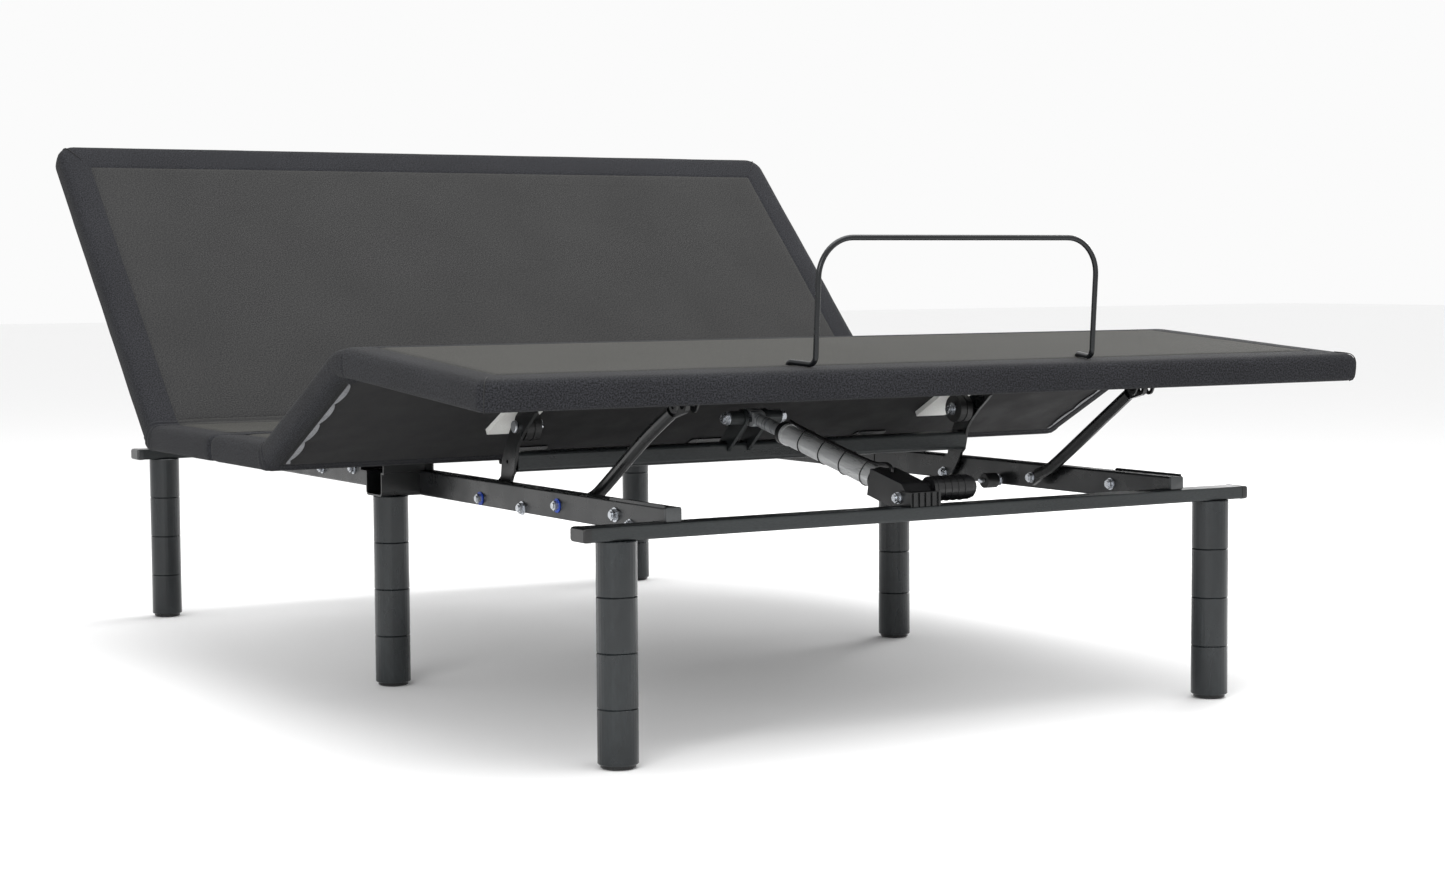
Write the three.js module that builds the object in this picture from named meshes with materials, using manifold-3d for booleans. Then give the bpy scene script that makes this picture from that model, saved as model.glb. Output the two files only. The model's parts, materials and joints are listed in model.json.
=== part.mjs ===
// Adjustable bed base, posed with the head and the legs raised.
// Millimetres, +Z up, +Y towards the head end, +X to the right when looking from the foot end.
import * as THREE from 'three';
import { mergeVertices, toCreasedNormals } from 'three/addons/utils/BufferGeometryUtils.js';
import Module from 'manifold-3d';

const wasm = await Module();
wasm.setup();

// ---- sizes -------------------------------------------------------------
// y values are measured from the foot legs' centre line and moved to the row's origin at the end.
const CENTRE_Y = 895.645;
const DECK_HALF = 767.8;
const DECK_THICK = 42.5;
const PAD_EDGE = 13;
const BOARD_THICK = 12.5;
const BOARD_INSET = 8;
const FIT_GAP = 0.3;
const SEAT_Z = 371.5;

const HEAD_PIVOT = [1231.9, SEAT_Z];
const HEAD_ANGLE = 45;
const HEAD_MAX = 60;
const HEAD_LENGTH = 725;
const SEAT_SPLIT_Y = 921;
const THIGH_PIVOT = [688.7, SEAT_Z];
const THIGH_ANGLE = 27.5;
const THIGH_MAX = 30;
const THIGH_LENGTH = 333.4;
const KNEE_PIVOT = [393.0, 525.4];
const FOOT_ANGLE = 4;
const FOOT_LENGTH = 471.4;

const LEG_RADIUS = 28.4;
const LEG_SECTION = 76.2;
const LEG_SECTIONS = 4;
const GLIDE_HEIGHT = 5.9;
const FRAME_Z = 310.7;
const LEG_END_X = 528.8;
const LEG_MID_X = 498.6;
const LEG_MID_Y = 817.6;
const HEAD_BAR_Y = 1842.2;
const BAR_HALF_DEPTH = 20;
const BAR_HEIGHT = 20;
const BAR_HALF_LENGTH = 577;

const RAIL_IN = 435;
const RAIL_OUT = 460;
const RAIL_TOP = 351.5;
const RAIL_WALL = 2.2;
const BEAM_FRONT = 788;
const BEAM_BACK = 851;
const BEAM_TOP = 350;
const BEAM_SHEET = 3;
const BEAM_FLANGE = 28; // head side
const BEAM_LIP = 9; // foot side
const BEAM_HALF = 527;

const ARM_IN = 425;
const ARM_OUT = 430;
const ROLLER_R = 23;
const ROLLER_IN = 397;
const ROLLER_OUT = 422;
const LEG_LIFT_PIVOT = [562, 322];
const LEG_ROLLER = [496.2, 435.75];
const HEAD_LIFT_PIVOT = [1200, 330];
const HEAD_ROLLER = [1400.7, 495.2];

const LINK_FRAME_PIN = [304, 330.5];
const LINK_DECK_PIN = [24, 487];
const ACT_X = -28;
const LEG_ACT_REAR = [14, 342];
const LEG_ACT_PIN = [455, 438];
const HEAD_ACT_REAR = [1828.2, 342];
const HEAD_ACT_PIN = [1298.3, 398.83];

// ---- materials ---------------------------------------------------------
const look = (name, color, roughness, metalness = 0) => {
  const m = new THREE.MeshStandardMaterial({ color, roughness, metalness });
  m.name = name;
  return m;
};
const MAT = {
  fabric: look('deck_fabric', 0x36373a, 0.95),
  board: look('deck_board', 0x22201f, 0.9),
  coat: look('frame_coat', 0x2b2e30, 0.45, 0.4),
  slate: look('leg_slate', 0x333a3d, 0.4, 0.4),
  rubber: look('roller_black', 0x17181a, 0.6),
  white: look('wear_white', 0xe4e4e0, 0.5),
  plastic: look('drive_plastic', 0x1b1c1e, 0.5),
  silver: look('tube_silver', 0xb4b6b8, 0.35, 0.9),
  rod: look('rod_grey', 0x8a8d90, 0.35, 0.8),
  cable: look('cable_black', 0x111112, 0.6),
};

// ---- solids ------------------------------------------------------------
function solid(geometry) {
  const g = geometry.clone();
  g.deleteAttribute('normal');
  g.deleteAttribute('uv');
  const m = mergeVertices(g, 1e-4);
  const index = m.index ? m.index.array : Uint32Array.from({ length: m.attributes.position.count }, (_, i) => i);
  const mesh = new wasm.Mesh({
    numProp: 3,
    vertProperties: new Float32Array(m.attributes.position.array),
    triVerts: new Uint32Array(index),
  });
  mesh.merge();
  return new wasm.Manifold(mesh);
}
function box(x0, x1, y0, y1, z0, z1) {
  const g = new THREE.BoxGeometry(x1 - x0, y1 - y0, z1 - z0);
  g.translate((x0 + x1) / 2, (y0 + y1) / 2, (z0 + z1) / 2);
  return solid(g);
}
function shapeOf(points, holes = []) {
  const s = new THREE.Shape(points.map(([a, b]) => new THREE.Vector2(a, b)));
  for (const hole of holes) {
    s.holes.push(new THREE.Path(hole.map(([a, b]) => new THREE.Vector2(a, b))));
  }
  return s;
}
function extrude(points, depth, holes) {
  return new THREE.ExtrudeGeometry(shapeOf(points, holes), { depth, bevelEnabled: false, steps: 1 });
}
// profile in (y, z), running along x
function prismX(points, x0, x1, holes) {
  const g = extrude(points, x1 - x0, holes);
  g.applyMatrix4(new THREE.Matrix4().set(0, 0, 1, x0, 1, 0, 0, 0, 0, 1, 0, 0, 0, 0, 0, 1));
  return solid(g);
}
// profile in (x, z), running along y
function prismY(points, y0, y1, holes) {
  const g = extrude(points, y1 - y0, holes);
  g.applyMatrix4(new THREE.Matrix4().set(1, 0, 0, 0, 0, 0, -1, y1, 0, 1, 0, 0, 0, 0, 0, 1));
  return solid(g);
}
// profile in (x, y), running along z
function prismZ(points, z0, z1, holes) {
  const g = extrude(points, z1 - z0, holes);
  g.translate(0, 0, z0);
  return solid(g);
}
function arc(cx, cy, r, from, to, steps = 10) {
  return Array.from({ length: steps + 1 }, (_, i) => {
    const a = THREE.MathUtils.degToRad(from + ((to - from) * i) / steps);
    return [cx + r * Math.cos(a), cy + r * Math.sin(a)];
  });
}
function circle(cx, cy, r, steps = 20) {
  return arc(cx, cy, r, 0, 360, steps).slice(0, -1);
}
function roundRect(a0, a1, b0, b1, r, steps = 4) {
  return [
    ...arc(a1 - r, b0 + r, r, -90, 0, steps),
    ...arc(a1 - r, b1 - r, r, 0, 90, steps),
    ...arc(a0 + r, b1 - r, r, 90, 180, steps),
    ...arc(a0 + r, b0 + r, r, 180, 270, steps),
  ];
}
function cylX(c, r, x0, x1, steps = 20) {
  return prismX(circle(c[0], c[1], r, steps), x0, x1);
}
function ringX(c, outer, inner, x0, x1, steps = 20) {
  return prismX(circle(c[0], c[1], outer, steps), x0, x1, [circle(c[0], c[1], inner, steps)]);
}
// profile [radius, height] turned about the local y axis, then laid along +y or -y
function latheY(profile, dir = 1, segments = 24) {
  const pts = profile.map(([r, s]) => new THREE.Vector2(r, s));
  const g = new THREE.LatheGeometry(pts, segments);
  if (dir < 0) g.rotateX(Math.PI);
  return orient(g);
}
function orient(geometry) {
  const g = mergeVertices(geometry.deleteAttribute('normal').deleteAttribute('uv'), 1e-4);
  const m = solid(g);
  if (m.volume() > 0) return m;
  const i = g.index.array;
  for (let k = 0; k < i.length; k += 3) [i[k], i[k + 1]] = [i[k + 1], i[k]];
  return solid(g);
}
// a round bar along a smooth curve through the given points
function bar(points, radius, steps, sides) {
  const path = new THREE.CatmullRomCurve3(points, false, 'centripetal');
  return orient(new THREE.ExtrudeGeometry(
    shapeOf(circle(0, 0, radius, sides)),
    { steps, bevelEnabled: false, extrudePath: path },
  ));
}
// turn a solid built about a pivot at the origin and set it at the pivot; angle is about +X
function place(m, pivot, degrees) {
  return m.rotate([degrees, 0, 0]).translate([0, pivot[0], pivot[1]]);
}
function mirrorX(m) {
  return m.mirror([1, 0, 0]);
}

// ---- nodes -------------------------------------------------------------
const root = new THREE.Group();
root.name = 'adjustable_bed_base';
function node(name, m, material, crease = 0.6) {
  const out = m.translate([0, -CENTRE_Y, 0]).getMesh();
  const g = new THREE.BufferGeometry();
  const count = out.vertProperties.length / out.numProp;
  const pos = new Float32Array(count * 3);
  for (let i = 0; i < count; i++) {
    for (let k = 0; k < 3; k++) pos[i * 3 + k] = out.vertProperties[i * out.numProp + k];
  }
  g.setAttribute('position', new THREE.BufferAttribute(pos, 3));
  g.setIndex(new THREE.BufferAttribute(new Uint32Array(out.triVerts), 1));
  const mesh = new THREE.Mesh(toCreasedNormals(g, crease), material);
  mesh.name = name;
  root.add(mesh);
}

// ---- deck: padded panels over boards -----------------------------------
function slab(halfWidth, y0, y1, corner) {
  const r = PAD_EDGE;
  const g = new THREE.ExtrudeGeometry(
    shapeOf(roundRect(-halfWidth + r, halfWidth - r, y0 + r, y1 - r, corner, 4)),
    { depth: DECK_THICK - 2 * r, bevelEnabled: true, bevelThickness: r, bevelSize: r, bevelSegments: 4 },
  );
  g.translate(0, 0, r);
  return solid(g);
}
// y0..y1 is the panel about its pivot; cuts name the mitred ends as [y, lean in degrees]
function panel(y0, y1, cuts, boardY0, boardY1, holes = []) {
  const over = 30;
  const lowCut = cuts.find((c) => c.end === 'low');
  const highCut = cuts.find((c) => c.end === 'high');
  let pad = slab(DECK_HALF, lowCut ? y0 - over : y0, highCut ? y1 + over : y1, 12);
  const wide = DECK_HALF + 5;
  if (lowCut) {
    const top = y0 + DECK_THICK * Math.tan(THREE.MathUtils.degToRad(lowCut.lean));
    pad = pad.subtract(prismX(
      [[y0 - over - 5, -5], [y0 - 0.01, -5], [y0, 0], [top, DECK_THICK], [top + 3, DECK_THICK + 5],
        [y0 - over - 5, DECK_THICK + 5]], -wide, wide));
  }
  if (highCut) {
    const top = y1 - DECK_THICK * Math.tan(THREE.MathUtils.degToRad(highCut.lean));
    pad = pad.subtract(prismX(
      [[y1 + over + 5, -5], [y1 + over + 5, DECK_THICK + 5], [top - 3, DECK_THICK + 5],
        [top, DECK_THICK], [y1, 0], [y1 + 0.01, -5]], -wide, wide));
  }
  const inner = DECK_HALF - BOARD_INSET;
  pad = pad.subtract(box(-inner, inner, boardY0, boardY1, -1, BOARD_THICK + FIT_GAP));
  for (const h of holes) pad = pad.subtract(h);
  const board = prismZ(
    roundRect(-inner + FIT_GAP, inner - FIT_GAP, boardY0 + FIT_GAP, boardY1 - FIT_GAP, 6),
    0, BOARD_THICK);
  return { pad, board };
}
const hingeGap = 0.4;
const headLean = HEAD_MAX / 2;
const thighLean = THIGH_MAX / 2 + 0.6;

const head = panel(hingeGap, HEAD_LENGTH, [{ end: 'low', lean: headLean }], 18, HEAD_LENGTH - BOARD_INSET);
node('head_pad', place(head.pad, HEAD_PIVOT, HEAD_ANGLE), MAT.fabric);
node('head_board', place(head.board, HEAD_PIVOT, HEAD_ANGLE), MAT.board);

const seatHead = panel(SEAT_SPLIT_Y + hingeGap, HEAD_PIVOT[0] - hingeGap, [{ end: 'high', lean: headLean }],
  SEAT_SPLIT_Y + BOARD_INSET, HEAD_PIVOT[0] - 18);
node('seat_pad_head', place(seatHead.pad, [0, SEAT_Z], 0), MAT.fabric);
node('seat_board_head', place(seatHead.board, [0, SEAT_Z], 0), MAT.board);

const seatFoot = panel(THIGH_PIVOT[0] + hingeGap, SEAT_SPLIT_Y - hingeGap, [{ end: 'low', lean: thighLean }],
  THIGH_PIVOT[0] + 14, SEAT_SPLIT_Y - BOARD_INSET);
node('seat_pad_foot', place(seatFoot.pad, [0, SEAT_Z], 0), MAT.fabric);
node('seat_board_foot', place(seatFoot.board, [0, SEAT_Z], 0), MAT.board);

const thigh = panel(-THIGH_LENGTH + hingeGap, -hingeGap, [{ end: 'high', lean: thighLean }],
  -THIGH_LENGTH + BOARD_INSET, -14);
node('thigh_pad', place(thigh.pad, THIGH_PIVOT, -THIGH_ANGLE), MAT.fabric);
node('thigh_board', place(thigh.board, THIGH_PIVOT, -THIGH_ANGLE), MAT.board);

// the retainer bar's feet drop into two holes in the foot pad
const BAR_R = 4;
const BAR_X = 244;
const BAR_SPLAY = 13;
const BAR_BACK = 398;
const BAR_FRONT = 448;
const BAR_RISE = 181;
const BAR_BEND = 55;
const deckTop = DECK_THICK + BAR_R + 0.6;
const socket = (x) => prismZ(circle(x, -BAR_BACK, BAR_R + 2.5, 16), DECK_THICK - 17, DECK_THICK + 5);
const foot = panel(-FOOT_LENGTH, -hingeGap, [], -FOOT_LENGTH + BOARD_INSET, -BOARD_INSET,
  [socket(BAR_X + BAR_SPLAY), socket(-BAR_X - BAR_SPLAY)]);
node('foot_pad', place(foot.pad, KNEE_PIVOT, FOOT_ANGLE), MAT.fabric);
node('foot_board', place(foot.board, KNEE_PIVOT, FOOT_ANGLE), MAT.board);
const barPath = [
  [-BAR_X - BAR_SPLAY, -BAR_BACK, DECK_THICK - 15],
  [-BAR_X - BAR_SPLAY, -BAR_BACK, deckTop],
  [-BAR_X, -BAR_FRONT, deckTop],
  [-BAR_X, -BAR_FRONT, DECK_THICK + BAR_RISE],
  [BAR_X, -BAR_FRONT, DECK_THICK + BAR_RISE],
  [BAR_X, -BAR_FRONT, deckTop],
  [BAR_X + BAR_SPLAY, -BAR_BACK, deckTop],
  [BAR_X + BAR_SPLAY, -BAR_BACK, DECK_THICK - 15],
];
function retainer() {
  const v = barPath.map((p) => new THREE.Vector3(...p));
  const radii = [0, 5, 12, BAR_BEND, BAR_BEND, 12, 5, 0];
  const dense = [v[0]];
  for (let i = 1; i < v.length - 1; i++) {
    const back = v[i - 1].clone().sub(v[i]).normalize();
    const ahead = v[i + 1].clone().sub(v[i]).normalize();
    const half = back.angleTo(ahead) / 2;
    const cut = radii[i] / Math.tan(half);
    const centre = v[i].clone().add(back.clone().add(ahead).setLength(radii[i] / Math.sin(half)));
    const a = v[i].clone().addScaledVector(back, cut).sub(centre);
    const b = v[i].clone().addScaledVector(ahead, cut).sub(centre);
    const turn = a.angleTo(b);
    const axis = a.clone().cross(b).normalize();
    for (let k = 0; k <= 6; k++) {
      dense.push(centre.clone().add(a.clone().applyAxisAngle(axis, (turn * k) / 6)));
    }
  }
  dense.push(v[v.length - 1]);
  return bar(dense, BAR_R, 76, 8);
}
node('retainer_bar', place(retainer(), KNEE_PIVOT, FOOT_ANGLE), MAT.slate);

// ---- frame -------------------------------------------------------------
const STUD_R = 4;
function crossbar(y, name) {
  const outer = roundRect(y - BAR_HALF_DEPTH, y + BAR_HALF_DEPTH, FRAME_Z, FRAME_Z + BAR_HEIGHT, 3);
  const inner = roundRect(y - BAR_HALF_DEPTH + 2, y + BAR_HALF_DEPTH - 2,
    FRAME_Z + 2, FRAME_Z + BAR_HEIGHT - 2, 1.2);
  let m = prismX(outer, -BAR_HALF_LENGTH, BAR_HALF_LENGTH, [inner]);
  for (const x of [-LEG_END_X, LEG_END_X]) {
    m = m.subtract(prismZ(circle(x, y, STUD_R + 0.4, 16), FRAME_Z - 2, FRAME_Z + 4));
  }
  node(name, m, MAT.coat);
}
crossbar(0, 'foot_crossbar');
crossbar(HEAD_BAR_Y, 'head_crossbar');

// each outrigger is an open channel with an end plate inside the rail line
{
  const t = BEAM_SHEET;
  const f = BEAM_FRONT;
  const b = BEAM_BACK;
  const plateIn = RAIL_IN - 1;
  const top = SEAT_Z - FIT_GAP;
  const profile = [
    [f - BEAM_LIP, BEAM_TOP - t], [f, BEAM_TOP - t], ...arc(f + 8, FRAME_Z + 8, 8, 180, 270, 4),
    ...arc(b - 8, FRAME_Z + 8, 8, 270, 360, 4), [b, BEAM_TOP - t], [b + BEAM_FLANGE, BEAM_TOP - t],
    [b + BEAM_FLANGE, BEAM_TOP], [b - t, BEAM_TOP], ...arc(b - 8, FRAME_Z + 8, 5, 360, 270, 4),
    ...arc(f + 8, FRAME_Z + 8, 5, 270, 180, 4), [f + t, BEAM_TOP], [f - BEAM_LIP, BEAM_TOP],
  ];
  let m = prismX(profile, plateIn, BEAM_HALF);
  m = m.subtract(box(RAIL_IN - 2, RAIL_OUT + 1, f - BEAM_LIP - 2, f - 0.01, BEAM_TOP - 6, BEAM_TOP + 4));
  m = m.subtract(box(RAIL_IN - 2, RAIL_OUT + 1, b + 0.01, b + BEAM_FLANGE + 2, BEAM_TOP - 6, BEAM_TOP + 4));
  m = m.subtract(prismZ(circle(LEG_MID_X, LEG_MID_Y, STUD_R + 0.4, 16), FRAME_Z - 2, FRAME_Z + 5));
  m = m.add(box(plateIn, plateIn + t, f + 2, b - 2, FRAME_Z + 1, top));
  node('mid_outrigger_right', m, MAT.coat);
  node('mid_outrigger_left', mirrorX(m), MAT.coat);
}

function rail(y0, y1, notchLow, notchHigh, bores, lip) {
  const outer = roundRect(RAIL_IN, RAIL_OUT, FRAME_Z + 0.2, RAIL_TOP, 3);
  const inner = roundRect(RAIL_IN + RAIL_WALL, RAIL_OUT - RAIL_WALL,
    FRAME_Z + 0.2 + RAIL_WALL, RAIL_TOP - RAIL_WALL, 1.2);
  let m = prismY(outer, y0, y1, [inner]);
  const cutTop = FRAME_Z + BAR_HEIGHT + FIT_GAP;
  if (notchLow) m = m.subtract(box(RAIL_IN - 5, RAIL_OUT + 5, y0 - 5, notchLow, FRAME_Z - 5, cutTop));
  if (notchHigh) m = m.subtract(box(RAIL_IN - 5, RAIL_OUT + 5, notchHigh, y1 + 5, FRAME_Z - 5, cutTop));
  for (const [c, r] of bores) m = m.subtract(cylX(c, r, RAIL_IN - 5, RAIL_OUT + 5, 20));
  if (lip) {
    const z = RAIL_TOP - 1;
    m = m.add(prismX([[y0, z], [lip, z], [lip - 1.2, z + 2.8], [lip - 4, z + 4], [y0, z + 4]],
      RAIL_OUT - 2.2, RAIL_OUT - 0.2));
  }
  return m;
}
const footRail = rail(-11, BEAM_FRONT - FIT_GAP, BAR_HALF_DEPTH + FIT_GAP, 0,
  [[LEG_LIFT_PIVOT, 5.3], [LINK_FRAME_PIN, 5.3]], 145);
const headRail = rail(BEAM_BACK + FIT_GAP, HEAD_BAR_Y + 11, 0, HEAD_BAR_Y - BAR_HALF_DEPTH - FIT_GAP,
  [[HEAD_LIFT_PIVOT, 5.3]], 0);
node('foot_rail_right', footRail, MAT.coat);
node('foot_rail_left', mirrorX(footRail), MAT.coat);
node('head_rail_right', headRail, MAT.coat);
node('head_rail_left', mirrorX(headRail), MAT.coat);

{
  const x0 = 455;
  const x1 = BEAM_HALF;
  const y0 = BEAM_FRONT - BEAM_LIP + 1;
  const y1 = BEAM_BACK + BEAM_FLANGE - 4;
  const z0 = BEAM_TOP + FIT_GAP;
  const z1 = SEAT_Z - FIT_GAP;
  const t = 3;
  let m = prismX([[y0, z0], [y0 + t, z0], [y0 + t, z1 - t], [y1 - t, z1 - t], [y1 - t, z0], [y1, z0],
    [y1, z1], [y0, z1]], x0, x1);
  m = m.subtract(box(x0 - 5, RAIL_OUT + 1, y0 - 5, BEAM_FRONT + 0.3, z0 - 5, RAIL_TOP + 0.5));
  m = m.subtract(box(x0 - 5, RAIL_OUT + 1, BEAM_BACK - 0.3, y1 + 5, z0 - 5, RAIL_TOP + 0.5));
  node('seat_support_right', m, MAT.coat);
  node('seat_support_left', mirrorX(m), MAT.coat);

  const a = 1123;
  const b = 1163;
  const zr = RAIL_TOP + FIT_GAP;
  const tab = prismX([[a, zr], [a + t, zr], [a + t, z1 - t], [b - t, z1 - t], [b - t, zr], [b, zr],
    [b, z1], [a, z1]], 437.5, 470);
  node('seat_tab_right', tab, MAT.coat);
  node('seat_tab_left', mirrorX(tab), MAT.coat);
}

// ---- legs: stacked sections with a glide and a stud --------------------
function leg() {
  const p = [[0, 0], [22, 0], [24.5, 1.5], [24.5, GLIDE_HEIGHT - 0.2], [LEG_RADIUS - 1.2, GLIDE_HEIGHT]];
  for (let i = 0; i < LEG_SECTIONS; i++) {
    const z0 = GLIDE_HEIGHT + i * LEG_SECTION;
    const z1 = i === LEG_SECTIONS - 1 ? FRAME_Z - FIT_GAP : z0 + LEG_SECTION;
    p.push([LEG_RADIUS, z0 + 1.2], [LEG_RADIUS, z1 - 1.2], [LEG_RADIUS - 1.2, z1]);
  }
  const top = FRAME_Z - FIT_GAP;
  p.push([STUD_R, top], [STUD_R, top + 14], [STUD_R - 0.8, top + 15], [0, top + 15]);
  return latheY(p, 1, 32).rotate([90, 0, 0]);
}
const legSolid = leg();
const legAt = (name, x, y) => node(name, legSolid.translate([x, y, 0]), MAT.slate);
legAt('leg_foot_left', -LEG_END_X, 0);
legAt('leg_foot_right', LEG_END_X, 0);
legAt('leg_mid_left', -LEG_MID_X, LEG_MID_Y);
legAt('leg_mid_right', LEG_MID_X, LEG_MID_Y);
legAt('leg_head_left', -LEG_END_X, HEAD_BAR_Y);
legAt('leg_head_right', LEG_END_X, HEAD_BAR_Y);

// ---- lift for the legs -------------------------------------------------
function roller(c, name) {
  const bore = 6;
  const m = prismX(circle(c[0], c[1], ROLLER_R, 32), ROLLER_IN, ROLLER_OUT, [circle(c[0], c[1], bore, 20)]);
  const waist = ringX(c, ROLLER_R + 2, ROLLER_R - 1.2, ROLLER_IN + 11, ROLLER_IN + 14, 32);
  const r = m.subtract(waist);
  node(`${name}_roller_right`, r, MAT.rubber);
  node(`${name}_roller_left`, mirrorX(r), MAT.rubber);
}
function earsAt(pin, base) {
  let m = null;
  for (const [x0, x1] of [[ACT_X - 22, ACT_X - 16], [ACT_X + 16, ACT_X + 22]]) {
    const ear = prismX(base, x0, x1);
    m = m ? m.add(ear) : ear;
  }
  m = m.add(cylX(pin, 11, ACT_X - 48, ACT_X - 16)).add(cylX(pin, 11, ACT_X + 16, ACT_X + 48));
  return m.subtract(cylX(pin, 5.4, ACT_X - 60, ACT_X + 60, 20));
}
{
  const [y, z] = LEG_LIFT_PIVOT;
  const outline = [
    ...arc(y, z, 14, -160, 20, 10), [575, 342], [560, 350], [551, 356], [547, 381], [532, 410], [514, 434],
    [484, 459], [462, 474], [447, 474], [436, 468], [430, 460], [443, 450], [463, 435], [484, 416],
    [495, 403], [498, 395], [506, 365], [513, 359], [520, 346], [531, 331],
  ];
  const holes = [circle(y, z, 5.3, 20), circle(LEG_ROLLER[0], LEG_ROLLER[1], 5.3, 20), circle(528, 380, 3.5, 14)];
  const arm = prismX(outline, ARM_IN, ARM_OUT, holes);
  node('leg_lift_arm_right', arm, MAT.coat);
  node('leg_lift_arm_left', mirrorX(arm), MAT.coat);
  roller(LEG_ROLLER, 'leg');
  const tubeLen = ARM_IN - FIT_GAP;
  let cross = prismX(roundRect(500, 532, 365, 396, 6), -tubeLen, tubeLen, [roundRect(502.5, 529.5, 367.5, 393.5, 4)]);
  const [py, pz] = LEG_ACT_PIN;
  cross = cross.add(earsAt(LEG_ACT_PIN, [
    [501, 381], ...arc(py, pz, 14, 230, 50, 10), [527, 395], [501, 395],
  ].reverse()));
  node('leg_torque_tube', cross, MAT.coat);
}
const wearPlate = (y0, y1, thick) => prismZ(roundRect(378, 441, y0, y1, 4), -FIT_GAP + 0.1 - thick, -FIT_GAP + 0.1);
{
  const w = place(wearPlate(-268, -119, 7.8), THIGH_PIVOT, -THIGH_ANGLE);
  node('leg_wear_plate_right', w, MAT.white);
  node('leg_wear_plate_left', mirrorX(w), MAT.white);
}

// ---- link arms that hold the foot panel's angle ------------------------
{
  const [by, bz] = LINK_FRAME_PIN;
  const [ty, tz] = LINK_DECK_PIN;
  const path = [[417.5, 290, 337], [417.5, 262, 347], [417, 238, 361], [414, 112, 442], [409, 52, 478]];
  let m = bar(path.map((p) => new THREE.Vector3(...p)), 9.5, 22, 14);
  m = m.add(prismX([...arc(by, bz, 13, -100, 80, 10), [284, 345], [276, 335], [286, 326]], 414, 421));
  const lean = Math.atan2(478 - tz, 52 - ty);
  const dir = [Math.cos(lean), Math.sin(lean)];
  const side = [-dir[1], dir[0]];
  const far = 34;
  m = m.add(prismX([
    ...arc(ty, tz, 11, (lean * 180) / Math.PI + 90, (lean * 180) / Math.PI + 270, 10),
    [ty + far * dir[0] - 9 * side[0], tz + far * dir[1] - 9 * side[1]],
    [ty + far * dir[0] + 9 * side[0], tz + far * dir[1] + 9 * side[1]],
  ], 404, 411));
  m = m.subtract(cylX(LINK_FRAME_PIN, 5.3, 400, 440, 20)).subtract(cylX(LINK_DECK_PIN, 5.3, 390, 420, 20));
  node('link_arm_right', m, MAT.coat);
  node('link_arm_left', mirrorX(m), MAT.coat);
}
{
  const pin = [-370.8, -12.5];
  const t = 3;
  const top = -0.2;
  let m = box(374, 441, pin[0] - 24, pin[0] - 15, top - t, top);
  m = m.add(box(374, 392, pin[0] - 24, pin[0] + 18, top - t, top));
  m = m.add(box(423, 441, pin[0] - 24, pin[0] + 18, top - t, top));
  for (const x of [389.5, 422.5]) {
    m = m.add(prismX([[pin[0] + 16, top - 1], [pin[0] - 16, top - 1], ...arc(pin[0], pin[1], 10, 200, 340, 10)],
      x, x + t));
  }
  m = m.subtract(cylX(pin, 4.6, 380, 430, 20));
  const placed = place(m, KNEE_PIVOT, FOOT_ANGLE);
  node('link_bracket_right', placed, MAT.coat);
  node('link_bracket_left', mirrorX(placed), MAT.coat);
}

// ---- lift for the head -------------------------------------------------
{
  const [y, z] = HEAD_LIFT_PIVOT;
  const u = new THREE.Vector2(HEAD_ROLLER[0] - y, HEAD_ROLLER[1] - z);
  const len = u.length();
  u.normalize();
  const at = (s, n) => [y + s * u.x - n * u.y, z + s * u.y + n * u.x];
  const outline = [
    ...arc(0, 0, 22, 50, 250, 10).map(([a, b]) => at(a, b)), at(56, -52), at(104, -52), at(160, -24),
    ...arc(len, 0, 17, -70, 70, 6).map(([a, b]) => at(a, b)), at(190, 10), at(150, 8), at(100, 2), at(45, -9),
  ];
  const arm = prismX(outline, ARM_IN, ARM_OUT,
    [circle(y, z, 5.3, 20), circle(HEAD_ROLLER[0], HEAD_ROLLER[1], 5.3, 20)]);
  node('head_lift_arm_right', arm, MAT.coat);
  node('head_lift_arm_left', mirrorX(arm), MAT.coat);
  roller(HEAD_ROLLER, 'head');
  const c = at(80, -34);
  const spin = (p) => {
    const a = Math.atan2(u.y, u.x);
    return [c[0] + p[0] * Math.cos(a) - p[1] * Math.sin(a), c[1] + p[0] * Math.sin(a) + p[1] * Math.cos(a)];
  };
  const tubeLen = ARM_IN - FIT_GAP;
  let cross = prismX(roundRect(-16, 16, -15.5, 15.5, 6).map(spin), -tubeLen, tubeLen,
    [roundRect(-13.5, 13.5, -13, 13, 4).map(spin)]);
  const [py, pz] = HEAD_ACT_PIN;
  const tilt = THREE.MathUtils.radToDeg(Math.atan2(u.y, u.x));
  cross = cross.add(earsAt(HEAD_ACT_PIN, [
    spin([14, 14.8]), ...arc(py, pz, 14, tilt + 0, tilt + 180, 10), spin([-15, 14.8]),
  ]));
  node('head_torque_tube', cross, MAT.coat);
  const w = place(wearPlate(190, 244, 6), HEAD_PIVOT, HEAD_ANGLE);
  node('head_wear_plate_right', w, MAT.white);
  node('head_wear_plate_left', mirrorX(w), MAT.white);
}

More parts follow.
